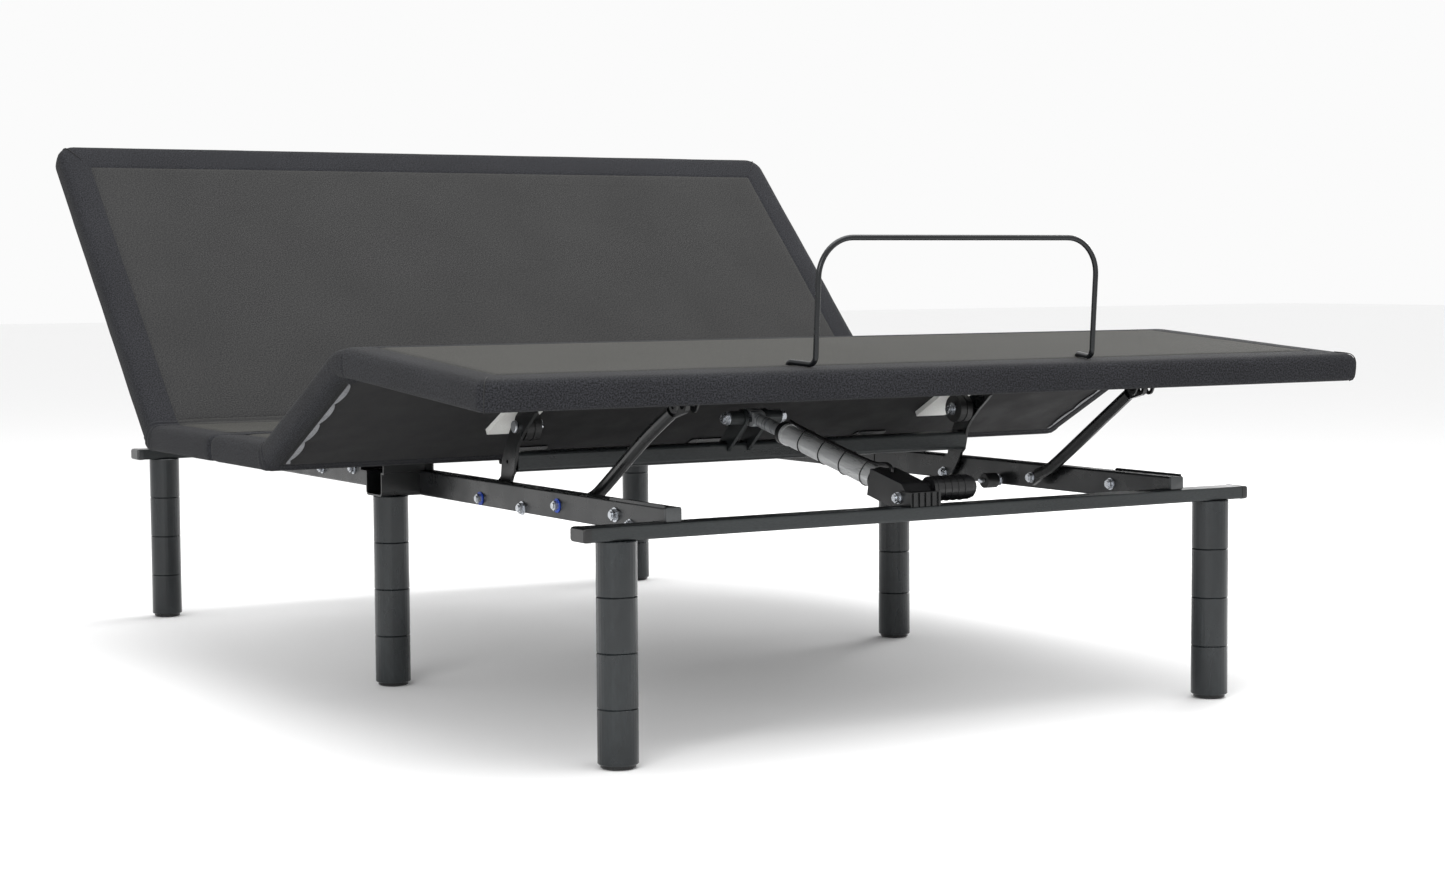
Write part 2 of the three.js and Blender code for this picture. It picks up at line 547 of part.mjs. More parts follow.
// ---- linear actuators --------------------------------------------------
function actuator(name, rear, pin, dir, barY) {
  const dy = pin[0] - rear[0];
  const dz = pin[1] - rear[1];
  const span = Math.hypot(dy, dz);
  const tilt = THREE.MathUtils.radToDeg(Math.atan2(dz, Math.abs(dy)));
  const put = (m) => place(m, rear, dir * tilt);
  const flip = (pts) => pts.map(([s, n]) => [dir * s, n]);
  // gearbox with a lug at the rear pin and a neck to the motor
  let gear = prismX(flip([
    [-9.5, -4], [-6, -8], [11, -8], [17, -20], [84, -20], [84, 20], [2, 20], [-9.5, 12],
  ]), ACT_X - 23, ACT_X + 23);
  gear = gear.subtract(prismX(flip(circle(0, 0, 5.2, 20)), ACT_X - 30, ACT_X + 30));
  gear = gear.add(prismX(flip([[-2, 12.5], [16, 12.5], [16, 19.8], [-2, 19.8]]), ACT_X + 22, ACT_X + 27.2));
  node(`${name}_actuator_gearbox`, put(gear), MAT.plastic);
  const a = THREE.MathUtils.degToRad(tilt);
  const motorWorld = [2 * dir, 10.4];
  const motor = latheY([[0, 0], [18.4, 0], [18.4, 68], [16.5, 75], [11, 80], [0, 81]], 1, 24)
    .rotate([0, 0, -90]).translate([ACT_X + 27.5, rear[0] + motorWorld[0], rear[1] + motorWorld[1]]);
  node(`${name}_actuator_motor`, motor, MAT.plastic);
  // hollow outer tube, open at the front, with the rod running inside it
  const shell = (s0, s1, ro, ri) => latheY([[ri, s0], [ro, s0], [ro, s1], [ri, s1], [ri, s0]], 1, 24);
  const frontAt = span - 104;
  let outer = shell(84.3, frontAt, 16, 11.6).add(shell(frontAt - 6, frontAt, 17.5, 11.6));
  const seat = (m) => put((dir > 0 ? m : m.rotate([0, 0, 180])).translate([ACT_X, 0, 0]));
  node(`${name}_actuator_tube`, seat(outer), MAT.silver);
  let rod = latheY([[0, 158], [10.5, 158], [10.5, span - 17], [0, span - 17]], 1, 24);
  rod = seat(rod);
  const slot = 9;
  const stadium = (r) => flip([
    ...arc(span + slot, 0, r, -90, 90, 8), ...arc(span - slot, 0, r, 90, 270, 8),
  ]);
  const eye = prismX(stadium(12.5), ACT_X - 11, ACT_X + 11).subtract(prismX(stadium(5.6), ACT_X - 20, ACT_X + 20));
  rod = rod.add(put(eye));
  node(`${name}_actuator_rod`, rod, MAT.rod);
  // bracket on the crossbar
  const y = (s) => barY + dir * s;
  const wide = 26.6;
  const z0 = FRAME_Z + BAR_HEIGHT + FIT_GAP;
  const flat = (pts) => pts.map(([s, zz]) => [y(s), zz]);
  const r0 = Math.abs(rear[0] - barY);
  const front = -BAR_HALF_DEPTH + 6;
  const top = 351.6;
  let bracket = prismX(flat([[front - 3, z0], [front, z0], [front, top], [front - 3, top]]),
    ACT_X - wide, ACT_X + wide);
  for (const x of [ACT_X - wide, ACT_X + wide - 2.8]) {
    bracket = bracket.add(prismX(flat([
      [front - 1, z0], [r0 + 9, z0], ...arc(r0, rear[1], 9.6, -10, 90, 8), [front - 1, top],
    ]), x, x + 2.8));
  }
  for (const k of [-22, -11, 0, 11, 22]) {
    bracket = bracket.add(prismX(flat([[front - 5.4, z0], [front - 2, z0], [front - 2, top - 1], [front - 5.4, top - 1]]),
      ACT_X + k - 1.2, ACT_X + k + 1.2));
  }
  bracket = bracket.subtract(cylX(rear, 5.2, ACT_X - 40, ACT_X + 40, 20));
  node(`${name}_actuator_bracket`, bracket, MAT.coat);
  if (dir > 0) {
    const up = (s, n, x = ACT_X) => {
      const yy = rear[0] + s * Math.cos(a) - n * Math.sin(a);
      const zz = rear[1] + s * Math.sin(a) + n * Math.cos(a);
      return new THREE.Vector3(x, yy, zz);
    };
    const route = [
      up(60, 21.2), up(62, 26), up(75, 29), up(95, 24), up(130, 20.2), up(200, 19.8), up(270, 20.4),
      up(frontAt - 20, 21), up(frontAt - 4, 22.4),
    ];
    node('leg_actuator_cable', bar(route, 2.6, 30, 8), MAT.cable);
  }
}
actuator('leg', LEG_ACT_REAR, LEG_ACT_PIN, 1, 0);
actuator('head', HEAD_ACT_REAR, HEAD_ACT_PIN, -1, HEAD_BAR_Y);

// ---- control box under the seat ----------------------------------------
{
  let m = prismZ(roundRect(90, 290, 960, 1070, 8), 332, SEAT_Z - FIT_GAP);
  for (let i = 0; i < 5; i++) {
    m = m.subtract(box(110 + i * 32, 130 + i * 32, 955, 966, 340, 356));
  }
  node('control_box', m, MAT.plastic);
}

export default root;
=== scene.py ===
# Adjustable bed base: padded folding deck on a steel frame with two linear actuators.
# Metres, +Z up, +Y towards the head end, +X to the right when looking from the foot end.
import json
import math

import bmesh
import bpy
from mathutils import Matrix, Vector, noise


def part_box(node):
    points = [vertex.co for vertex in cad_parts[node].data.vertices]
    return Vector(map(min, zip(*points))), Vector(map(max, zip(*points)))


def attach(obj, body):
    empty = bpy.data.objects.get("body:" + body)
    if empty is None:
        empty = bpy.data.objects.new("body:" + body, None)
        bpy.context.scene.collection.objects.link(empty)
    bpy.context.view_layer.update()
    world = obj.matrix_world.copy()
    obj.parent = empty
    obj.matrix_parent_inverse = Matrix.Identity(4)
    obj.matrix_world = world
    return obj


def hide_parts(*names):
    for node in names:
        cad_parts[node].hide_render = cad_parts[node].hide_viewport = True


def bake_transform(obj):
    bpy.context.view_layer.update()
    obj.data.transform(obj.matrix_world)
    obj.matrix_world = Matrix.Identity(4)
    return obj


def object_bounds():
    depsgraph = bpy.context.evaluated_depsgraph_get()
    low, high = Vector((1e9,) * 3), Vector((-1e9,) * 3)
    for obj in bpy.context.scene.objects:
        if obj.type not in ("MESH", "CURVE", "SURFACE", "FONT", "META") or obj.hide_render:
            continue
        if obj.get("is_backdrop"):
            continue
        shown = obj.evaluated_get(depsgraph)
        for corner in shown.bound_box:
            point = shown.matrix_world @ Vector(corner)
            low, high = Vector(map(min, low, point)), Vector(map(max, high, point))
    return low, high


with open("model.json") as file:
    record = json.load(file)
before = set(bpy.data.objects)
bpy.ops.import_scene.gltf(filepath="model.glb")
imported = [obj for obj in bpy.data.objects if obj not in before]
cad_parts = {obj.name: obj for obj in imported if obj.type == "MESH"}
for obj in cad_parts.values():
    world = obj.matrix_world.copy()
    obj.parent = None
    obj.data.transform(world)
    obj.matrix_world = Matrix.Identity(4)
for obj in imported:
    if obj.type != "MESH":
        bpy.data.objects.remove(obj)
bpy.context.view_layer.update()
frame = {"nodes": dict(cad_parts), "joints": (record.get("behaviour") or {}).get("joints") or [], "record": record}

MM = 0.001
JOINTS = {j["name"]: j for j in frame["joints"]}


# ---- sizes, in millimetres ----------------------------------------------
def pivot_of(name):
    p = JOINTS[name]["pos_m"]
    return Vector((0.0, p[1], p[2])) / MM


HEAD_PIVOT = pivot_of("head_hinge")
THIGH_PIVOT = pivot_of("thigh_hinge")
KNEE_PIVOT = pivot_of("knee_hinge")
LEG_LIFT = pivot_of("leg_lift_pivot")
HEAD_LIFT = pivot_of("head_lift_pivot")
LINK_PIN = pivot_of("link_pivot_right")
LEG_AXLE = pivot_of("leg_roller_axle_right")
HEAD_AXLE = pivot_of("head_roller_axle_right")
LEG_ACT = pivot_of("leg_actuator_pivot")
HEAD_ACT = pivot_of("head_actuator_pivot")

HEAD_ANGLE = 45.0
THIGH_ANGLE = 27.5
FOOT_ANGLE = 4.0
THICK = 42.5
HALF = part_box("seat_pad_head")[1].x / MM
THIGH_LENGTH = (KNEE_PIVOT - THIGH_PIVOT).length
HEAD_LENGTH = 725.0
FOOT_LENGTH = 471.4
SEAT_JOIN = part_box("seat_pad_head")[0].y / MM - 0.4
CENTRE_Y = 895.645  # from the foot legs' centre line to the origin

# Deck covers, in their own frame: x across, y along the panel, height above the board's underside
SIDE_BORDER = 52.0
END_BORDER = 62.0
JOIN_BORDER = 31.0
HEAD_CORNER = 30.0
FOOT_CORNER = 15.0
JOIN_CORNER = 13.0
COVER_RIM = (  # distance in from the edge, height, corner radius as a share
    (27, 14, 0.2), (26, -0.3, 0.2), (18, -0.8, 0.4), (9, -0.6, 0.7), (3.5, 1.6, 0.9), (0.8, 6, 0.97),
    (0, 12, 1.0), (-0.4, 21, 1.0), (0, 29, 1.0), (1.6, 34.5, 1.0), (5, 39, 0.95), (10, 41.6, 0.85),
    (17, 42.5, 0.7), (30, 42.9, 0.5),
)
# How far outside the seam line, height. The stitched line itself, at 0, is pulled in.
COVER_SEAM = ((7, 42.7), (2.2, 42.2), (0, 40.9), (-2.2, 42.3), (-7, 43.1), (-16, 43.4), (-34, 43.5))
SEAM_CORNER = 4.0
RIPPLE_IN = 14.0  # ripples push sideways this near to the sides
RIPPLE_TOP = 30.0  # and upwards above this height
CALM_END = 50.0  # none this near to an end in a fold
CALM_FADE = 40.0
CORD_RADIUS = 0.75
CORD_TURN = 58.0
CORD_LIMIT = -20.0
CORD_PATH = (  # distance in from the edge, height
    (9, -0.9), (3.5, 1.3), (0.8, 5.8), (-0.1, 12), (-0.5, 21), (-0.1, 29),
    (1.5, 34.7), (4.9, 39.3), (10, 42.0), (17, 42.9), (30, 43.3), (44, 43.3),
)

# Fold bands
HEAD_FOLD = 30.0
THIGH_FOLD = 20.0
KNEE_FOLD = 32.0
FOLD_LAP = 9.0
FOLD_HIDE = 20.0  # how much further a cover runs on inside a fold band
FOLD_RIM = 0.6  # the rim of a hidden end, as a share of an open end's rim
FOLD_SEAM = 26.0
BAND_PROUD = 0.3
BAND_DIP = 2.2
BAND_LEVEL = 0.72  # the share of the band that keeps its height before its ends dip
BAND_FALL = 0.28
BAND_STEPS = 18
BAND_UNDERSIDE = 0.03

# Retainer bar
BAR_RADIUS = 4.0
BAR_X = 244.0
BAR_SPLAY = 13.0
BAR_FRONT = -448.0
BAR_BACK = -398.0
BAR_TOP = THICK + 181.0
BAR_LIE = THICK + BAR_RADIUS + 0.9
BAR_SUNK = THICK - 14
BAR_TURNS = (0, 6, 12, 55, 55, 12, 6, 0)

# Fittings. Each profile of a turned piece is (radius, place along the axis).
HEX_CORNER = 1.1547  # across the corners, as a share of across the flats
HEX_CROWN = 0.62
SHANK_LENGTH = 4.5
ACT_X = -28.0
STOP_ROLLER = [(6, 0), (11.5, 0.2), (12.5, 1.6), (12.5, 24), (11.5, 25.4), (6, 25.6)]
STOP_ROLLER_IN = 33.0
STOP_AXLE = [(3.5, 0), (4, 0.5), (4, 42), (3.5, 42.4)]
STOP_AXLE_IN = 42.0
AXLE_PIN = [(4.2, 0), (4.9, 0.8), (4.9, 46), (9.5, 46.1), (9.5, 49), (8.5, 49.8)]
AXLE_PIN_X = 385.0
AXLE_WASHER = [(5, 0), (11, 0), (11, 1.6), (5, 1.6)]
AXLE_WASHER_X = 393.6
AXLE_CLIP_X = 389.0
CLIP_HALF = 12.0
CLIP_HEIGHT = 9.0
CLIP_STEPS = 12
WIRE_RADIUS = 0.9
LINK_NUT_X = 413.8
PLUG_OUT = 12.0
PLUG_CORNER = 3.4
RAIL_PLUG_OUT = 5.0
RAIL_PLUG_CORNER = 3.2
PLUG_SHAPE = ((0, 0.0), (0, 0.55), (0.6, 0.85), (2.2, 1.0))  # distance in, share of the depth
CLEVIS_BOLT = [(4.6, 0), (5.2, 0.6), (5.2, 96), (5.2, 100), (4.6, 100.6)]
CLEVIS_HALF = 48.2
REAR_PIN = [(4.4, 0), (4.8, 0.5), (4.8, 57.5), (4.4, 58)]
TUBE_END = 104.0  # from the rod's pin back to the front of the tube
TUBE_COLLAR = [(11.6, 0.3), (16.8, 0.3), (18.2, 2), (18.2, 10), (16.5, 12.2), (11.6, 12.2)]
THROAT = 84.3
TUBE_BOOT = [(16.2, 0), (19.5, 0), (19.5, 8), (18.2, 10.5), (16.2, 11)]
CABLE_RADIUS = 2.6
CABLE_STOPS = (  # (along the actuator, above its axis)
    (60, 20.8), (61, 24), (66, 28), (75, 29), (85, 26.5), (96, 23), (115, 20.6), (150, 19.6),
    (200, 19.9), (245, 19.6), (290, 20.3),
)
TIE_PLACES = (118, 176, 234, 292)
TIE_RADIUS = 16.9
TIE_RISE = 5.2
TIE_LOCK = [(2.6, 0), (3.2, 0.5), (3.2, 4.5), (2.6, 5)]
MOTOR_BANDS = 5
MOTOR_BAND_PITCH = 12
TAPE_IN = 30.0
TAPE_STEP = 6
TAPE_SCALLOP = 67.0
TAPE_NARROW = 1.6
TAPE_SWELL = 6.4
TAPE_DROP = 0.8
HINGE_PLACES = (-330.0, 0.0, 330.0)
LEAF_HALF = 32
LEAF_TOP = -0.7
LEAF_UNDER = -2.9
HINGE_PIN = [(3.2, 0), (4, 0.6), (4, 67.4), (3.2, 68)]
HINGE_PIN_HALF = 34
HINGE_PIN_DROP = 4.4

# Camera and floor
CAMERA_PLACE = (-2187.84, -3029.51 - CENTRE_Y, 675.25)
CAMERA_YAW = 0.5428
CAMERA_PITCH = 0.0676
CAMERA_ROLL = -0.0062
CAMERA_LENS = 64.0
FLOOR_HALF = 30.0
FLOOR_DROP = 0.0005


# ---- materials ----------------------------------------------------------
def linear(hex_colour):
    out = []
    for i in (1, 3, 5):
        c = int(hex_colour[i:i + 2], 16) / 255
        out.append(c / 12.92 if c <= 0.04045 else ((c + 0.055) / 1.055) ** 2.4)
    return (*out, 1.0)


def add(tree, kind, links=None, values=None, **settings):
    node = tree.nodes.new(kind)
    for key, value in settings.items():
        setattr(node, key, value)
    for key, value in (values or {}).items():
        node.inputs[key].default_value = value
    for key, source in (links or {}).items():
        tree.links.new(source, node.inputs[key])
    return node


def start_material(name, colour, rough, metal=0.0, **sockets):
    mat = bpy.data.materials.new(name)
    mat.use_nodes = True
    tree = mat.node_tree
    shader = tree.nodes["Principled BSDF"]
    shader.inputs["Base Color"].default_value = linear(colour)
    shader.inputs["Roughness"].default_value = rough
    shader.inputs["Metallic"].default_value = metal
    for key, value in sockets.items():
        shader.inputs[key.replace("_", " ")].default_value = value
    mat.diffuse_color = linear(colour)
    return mat, tree, shader


def ramp_between(tree, factor, low, high, start=0.0, end=1.0):
    ramp = add(tree, "ShaderNodeValToRGB", {"Fac": factor})
    ramp.color_ramp.elements[0].position = start
    ramp.color_ramp.elements[0].color = linear(low)
    ramp.color_ramp.elements[1].position = end
    ramp.color_ramp.elements[1].color = linear(high)
    return ramp.outputs["Color"]


def spread(tree, factor, start, end, low, high):
    values = {"From Min": start, "From Max": end, "To Min": low, "To Max": high}
    return add(tree, "ShaderNodeMapRange", {"Value": factor}, values).outputs["Result"]


def woven_polyester(name, warp, weft, thread_mm, sheen, bump):
    # Plain-weave polyester: matt, with paler flecks where threads cross and a faint sheen at low angles.
    # The real thread is about 0.5 mm; it is drawn coarser so that the speckle shows.
    mat, tree, shader = start_material(name, warp, 0.9, Sheen_Weight=sheen, Sheen_Roughness=0.4)
    shader.inputs["Specular IOR Level"].default_value = 0.15
    shader.inputs["Sheen Tint"].default_value = linear("#b5b29c")
    uv = add(tree, "ShaderNodeUVMap", uv_map="cloth").outputs["UV"]
    slub = add(tree, "ShaderNodeTexNoise", {"Vector": uv}, {"Scale": 1 / (6 * MM), "Detail": 3.0})
    shift = add(tree, "ShaderNodeVectorMath", {0: slub.outputs["Color"]}, {1: (0.002, 0.002, 0)},
                operation="MULTIPLY")
    bent = add(tree, "ShaderNodeVectorMath", {0: uv, 1: shift.outputs["Vector"]}, operation="ADD")
    waves = []
    for direction in ("X", "Y"):
        waves.append(add(
            tree, "ShaderNodeTexWave", {"Vector": bent.outputs["Vector"]},
            {"Scale": 0.314 / (thread_mm * MM), "Distortion": 0.0}, bands_direction=direction,
        ).outputs["Fac"])
    cloth = add(tree, "ShaderNodeMath", {0: waves[0], 1: waves[1]}, operation="MULTIPLY").outputs[0]
    fleck = add(tree, "ShaderNodeTexNoise", {"Vector": uv},
                {"Scale": 1 / (2.4 * MM), "Detail": 2.0, "Roughness": 0.75}).outputs["Fac"]
    speck = spread(tree, fleck, 0.35, 0.65, -0.15, 1.15)
    mixed = add(tree, "ShaderNodeMix", {2: cloth, 3: speck}, {0: 0.7}, data_type="FLOAT").outputs[0]
    wide = add(tree, "ShaderNodeTexNoise", {"Vector": uv}, {"Scale": 1 / (160 * MM), "Detail": 3.0})
    patch = spread(tree, wide.outputs["Fac"], 0.3, 0.7, 0.86, 1.14)
    shade = add(tree, "ShaderNodeMath", {0: mixed, 1: patch}, operation="MULTIPLY").outputs[0]
    tree.links.new(ramp_between(tree, shade, warp, weft, 0.12, 0.85), shader.inputs["Base Color"])
    tree.links.new(spread(tree, fleck, 0.0, 1.0, 0.8, 0.98), shader.inputs["Roughness"])
    height = add(tree, "ShaderNodeBump", {"Height": mixed}, {"Strength": bump, "Distance": 0.0006})
    tree.links.new(height.outputs["Normal"], shader.inputs["Normal"])
    return mat


def grained(name, low, high, rough, metal, grain_mm, bump, stretch=(1, 1, 1), rough_span=0.1, **sockets):
    mat, tree, shader = start_material(name, low, rough, metal, **sockets)
    where = add(tree, "ShaderNodeTexCoord").outputs["Object"]
    turned = add(tree, "ShaderNodeMapping", {"Vector": where}, {"Scale": stretch}).outputs["Vector"]
    fine = add(tree, "ShaderNodeTexNoise", {"Vector": turned}, {"Scale": 1 / (grain_mm * MM), "Detail": 4.0})
    wide = add(tree, "ShaderNodeTexNoise", {"Vector": turned}, {"Scale": 1 / (55 * MM), "Detail": 3.0})
    both = add(tree, "ShaderNodeMath", {0: fine.outputs["Fac"], 1: wide.outputs["Fac"]}, operation="MULTIPLY")
    tree.links.new(ramp_between(tree, both.outputs[0], low, high, 0.1, 0.55), shader.inputs["Base Color"])
    tree.links.new(spread(tree, wide.outputs["Fac"], 0.3, 0.7, rough - rough_span, rough + rough_span),
                   shader.inputs["Roughness"])
    height = add(tree, "ShaderNodeBump", {"Height": fine.outputs["Fac"]},
                 {"Strength": bump, "Distance": 0.0003})
    tree.links.new(height.outputs["Normal"], shader.inputs["Normal"])
    return mat


GLIDE_HEIGHT = 0.0059  # metres, as the shader's coordinates are


def satin_leg_enamel():
    # Satin enamel on turned tube: soft vertical highlights, rub marks, and a black nylon glide at the floor.
    mat = grained("satin_leg_enamel", "#15181a", "#252a2c", 0.27, 0.2, 6.0, 0.02, (1, 1, 0.3), 0.05)
    tree = mat.node_tree
    shader = tree.nodes["Principled BSDF"]
    where = add(tree, "ShaderNodeTexCoord").outputs["Object"]
    z = add(tree, "ShaderNodeSeparateXYZ", {"Vector": where}).outputs["Z"]
    glide = add(tree, "ShaderNodeMath", {0: z}, {1: GLIDE_HEIGHT}, operation="LESS_THAN").outputs[0]
    painted = shader.inputs["Base Color"].links[0].from_socket
    scuff = add(tree, "ShaderNodeTexNoise", {"Vector": where},
                {"Scale": 90.0, "Detail": 5.0, "Roughness": 0.7})
    mark = ramp_between(tree, scuff.outputs["Fac"], "#000000", "#ffffff", 0.7, 0.78)
    rubbed = add(tree, "ShaderNodeMix", {0: mark, 6: painted}, {7: linear("#343a3c")}, data_type="RGBA")
    mix = add(tree, "ShaderNodeMix", {0: glide, 6: rubbed.outputs[2]}, {7: linear("#0d0e0f")},
              data_type="RGBA")
    tree.links.new(mix.outputs[2], shader.inputs["Base Color"])
    return mat


BORDER = woven_polyester("border_woven_polyester", "#141416", "#323337", 2.2, 0.03, 0.5)
INSET = woven_polyester("inset_woven_polyester", "#222223", "#3b3b3b", 2.0, 0.1, 0.4)
THREAD = grained("polyester_thread", "#0a0a0b", "#151517", 0.8, 0.0, 0.8, 0.3)
DUST_CLOTH = grained("nonwoven_dust_cloth", "#0c0c0d", "#1a191b", 0.93, 0.0, 2.5, 0.6)
TAPE = grained("nonwoven_edge_tape", "#5c5d60", "#939497", 0.85, 0.0, 2.0, 0.5)
COAT = grained("semi_gloss_powder_coat", "#08090a", "#161819", 0.3, 0.1, 1.4, 0.2)
RAIL_COAT = grained("semi_gloss_powder_coat_rail", "#101112", "#232527", 0.3, 0.2, 1.4, 0.2)
TUBE_COAT = grained("satin_powder_coat_tube", "#1c1f20", "#343839", 0.34, 0.3, 1.4, 0.2, (0.2, 1, 1))
LEG = satin_leg_enamel()
ZINC = grained("zinc_plated_steel", "#a9adb3", "#dfe2e6", 0.27, 0.85, 1.2, 0.15)
BLUE = grained("blue_nylon_lock_ring", "#16338a", "#2c52c0", 0.5, 0.0, 1.0, 0.2)
NYLON = grained("white_nylon", "#d8d8d4", "#f2f2ee", 0.42, 0.0, 2.0, 0.15)
ABS = grained("moulded_black_abs", "#070708", "#141517", 0.36, 0.0, 0.9, 0.35)
GREY_ABS = grained("moulded_grey_abs", "#2a2c2d", "#464849", 0.4, 0.0, 0.9, 0.3)
RUBBER = grained("black_polyurethane", "#070708", "#131415", 0.5, 0.0, 1.5, 0.2)
ALU = grained("anodised_aluminium_tube", "#b2b4b5", "#e2e3e3", 0.34, 0.15, 1.0, 0.1, (8, 0.4, 8))
ROD = grained("ground_steel_rod", "#85888a", "#b4b6b8", 0.3, 0.3, 0.8, 0.1, (1, 8, 1))
CABLE = grained("black_pvc_cable", "#050506", "#101011", 0.45, 0.0, 1.5, 0.2)
BAR_PAINT = grained("painted_steel_rod", "#101113", "#232628", 0.26, 0.4, 1.2, 0.1)

NODE_LOOKS = {
    "deck_board": DUST_CLOTH, "frame_coat": COAT, "leg_slate": LEG, "roller_black": RUBBER,
    "wear_white": NYLON, "drive_plastic": ABS, "tube_silver": ALU, "rod_grey": ROD, "cable_black": CABLE,
}
for part in frame["record"]["subparts"]:
    look = NODE_LOOKS.get(part["material_slot"])
    node = frame["nodes"][part["node"]]
    if look:
        node.data.materials.clear()
        node.data.materials.append(look)
for name in ("foot_rail_left", "foot_rail_right", "head_rail_left", "head_rail_right"):
    frame["nodes"][name].data.materials[0] = RAIL_COAT
for name in ("leg_torque_tube", "foot_crossbar", "head_crossbar"):
    frame["nodes"][name].data.materials[0] = TUBE_COAT


# ---- mesh helpers -------------------------------------------------------
def new_object(name, mesh, materials):
    obj = bpy.data.objects.new(name, mesh)
    bpy.context.scene.collection.objects.link(obj)
    for m in materials:
        mesh.materials.append(m)
    return obj


def mesh_object(name, points, faces, materials, face_material=None, smooth=True, uv=None):
    mesh = bpy.data.meshes.new(name)
    mesh.from_pydata([tuple(Vector(p) * MM) for p in points], [], faces)
    if uv is not None:
        layer = mesh.uv_layers.new(name="cloth")
        for loop in mesh.loops:
            layer.data[loop.index].uv = uv[loop.index]
    mesh.polygons.foreach_set("use_smooth", [smooth] * len(mesh.polygons))
    if face_material:
        mesh.polygons.foreach_set("material_index", face_material)
    obj = new_object(name, mesh, materials)
    bm = bmesh.new()
    bm.from_mesh(mesh)
    bmesh.ops.recalc_face_normals(bm, faces=bm.faces)
    bm.to_mesh(mesh)
    bm.free()
    return obj


def fix_shading(obj, degrees=35):
    bm = bmesh.new()
    bm.from_mesh(obj.data)
    limit = math.radians(degrees)
    for edge in bm.edges:
        edge.smooth = len(edge.link_faces) == 2 and edge.calc_face_angle(0) < limit
    bm.to_mesh(obj.data)
    bm.free()


def settle(obj, pivot, degrees):
    """Turns a piece built about a pivot at the origin and sets it on the pivot, in its mesh."""
    turn = Matrix.Rotation(math.radians(degrees), 4, "X")
    obj.data.transform(Matrix.Translation(Vector(pivot) * MM) @ turn)


# ---- deck covers --------------------------------------------------------
def edge_ring(x0, x1, y0, y1, radius, across=64, along=22, corner=6):
    """A rounded rectangle, anticlockwise, with the same count of points whatever its size."""
    pts = []
    corners = [(x1 - radius, y0 + radius, -90), (x1 - radius, y1 - radius, 0),
               (x0 + radius, y1 - radius, 90), (x0 + radius, y0 + radius, 180)]
    for i, (cx, cy, start) in enumerate(corners):
        for k in range(corner + 1):
            a = math.radians(start + 90 * k / corner)
            pts.append((cx + radius * math.cos(a), cy + radius * math.sin(a)))
        nx, ny, nstart = corners[(i + 1) % 4]
        a = math.radians(nstart)
        end = (nx + radius * math.cos(a), ny + radius * math.sin(a))
        here = pts[-1]
        count = along if i in (0, 2) else across
        for k in range(1, count):
            t = k / count
            pts.append((here[0] + (end[0] - here[0]) * t, here[1] + (end[1] - here[1]) * t))
    return pts


def cloth_uv(mesh_points, faces):
    """Flat mapping in metres on each face's own side, so that threads keep their spacing."""
    uv = []
    for face in faces:
        a, b, c = (Vector(mesh_points[i]) for i in (face[0], face[1], face[2]))
        n = (b - a).cross(c - a)
        big = max(range(3), key=lambda k: abs(n[k]))
        for i in face:
            p = mesh_points[i]
            if big == 2:
                uv.append((p[0] * MM, p[1] * MM))
            elif big == 0:
                uv.append((p[2] * MM, p[1] * MM))
            else:
                uv.append((p[0] * MM, p[2] * MM))
    return uv


def ripple(p, size, amount, seed=0.0):
    return amount * noise.noise(Vector((p[0] / size, p[1] / size, p[2] / size + seed)))


def deck_cover(name, body, node, pivot, degrees, low_end, high_end, corner, seed):
    """A closed foam cover; each end is (place, border width), with no border where it enters a fold."""
    y0, low_border = low_end
    y1, high_border = high_end
    low_rim = 1.0 if low_border is not None else FOLD_RIM
    high_rim = 1.0 if high_border is not None else FOLD_RIM
    y0 -= 0 if low_border is not None else FOLD_HIDE
    y1 += 0 if high_border is not None else FOLD_HIDE
    low_seam = FOLD_SEAM if low_border is None else low_border
    high_seam = FOLD_SEAM if high_border is None else high_border
    rings = []
    for inset, height, share in COVER_RIM:
        ring = edge_ring(-HALF + inset, HALF - inset, y0 + inset * low_rim, y1 - inset * high_rim,
                         corner * share)
        rings.append([(x, y, height) for x, y in ring])
    for grow, height in COVER_SEAM:
        ring = edge_ring(-HALF + SIDE_BORDER - grow, HALF - SIDE_BORDER + grow,
                         y0 + low_seam - grow, y1 - high_seam + grow, SEAM_CORNER)
        rings.append([(x, y, height) for x, y in ring])
    points = []
    for ring in rings:
        for p in ring:
            push = ripple(p, 95.0, 0.7, seed) + ripple(p, 31.0, 0.35, seed + 4)
            near_low = p[1] - y0 if low_border is None else CALM_END + CALM_FADE
            near_high = y1 - p[1] if high_border is None else CALM_END + CALM_FADE
            push *= min(1.0, max(0.0, (min(near_low, near_high) - CALM_END) / CALM_FADE))
            out = 1 if abs(abs(p[0]) - HALF) < RIPPLE_IN else 0
            sign = 1 if p[0] > 0 else -1
            points.append((p[0] + sign * push * out, p[1], p[2] + (push * 0.5 if p[2] > RIPPLE_TOP else 0)))
    count = len(rings[0])
    faces = []
    which = []
    seam = len(COVER_RIM) + [grow for grow, height in COVER_SEAM].index(0)
    for r in range(len(rings) - 1):
        for k in range(count):
            n = (k + 1) % count
            faces.append((r * count + k, r * count + n, (r + 1) * count + n, (r + 1) * count + k))
            which.append(1 if r >= seam else 0)
    last = (len(rings) - 1) * count
    faces.append(tuple(last + k for k in range(count)))
    which.append(1)
    faces.append(tuple(reversed(range(count))))
    which.append(0)
    obj = mesh_object(name, points, faces, [BORDER, INSET], which, uv=cloth_uv(points, faces))
    settle(obj, pivot, degrees)
    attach(obj, body)
    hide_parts(node)


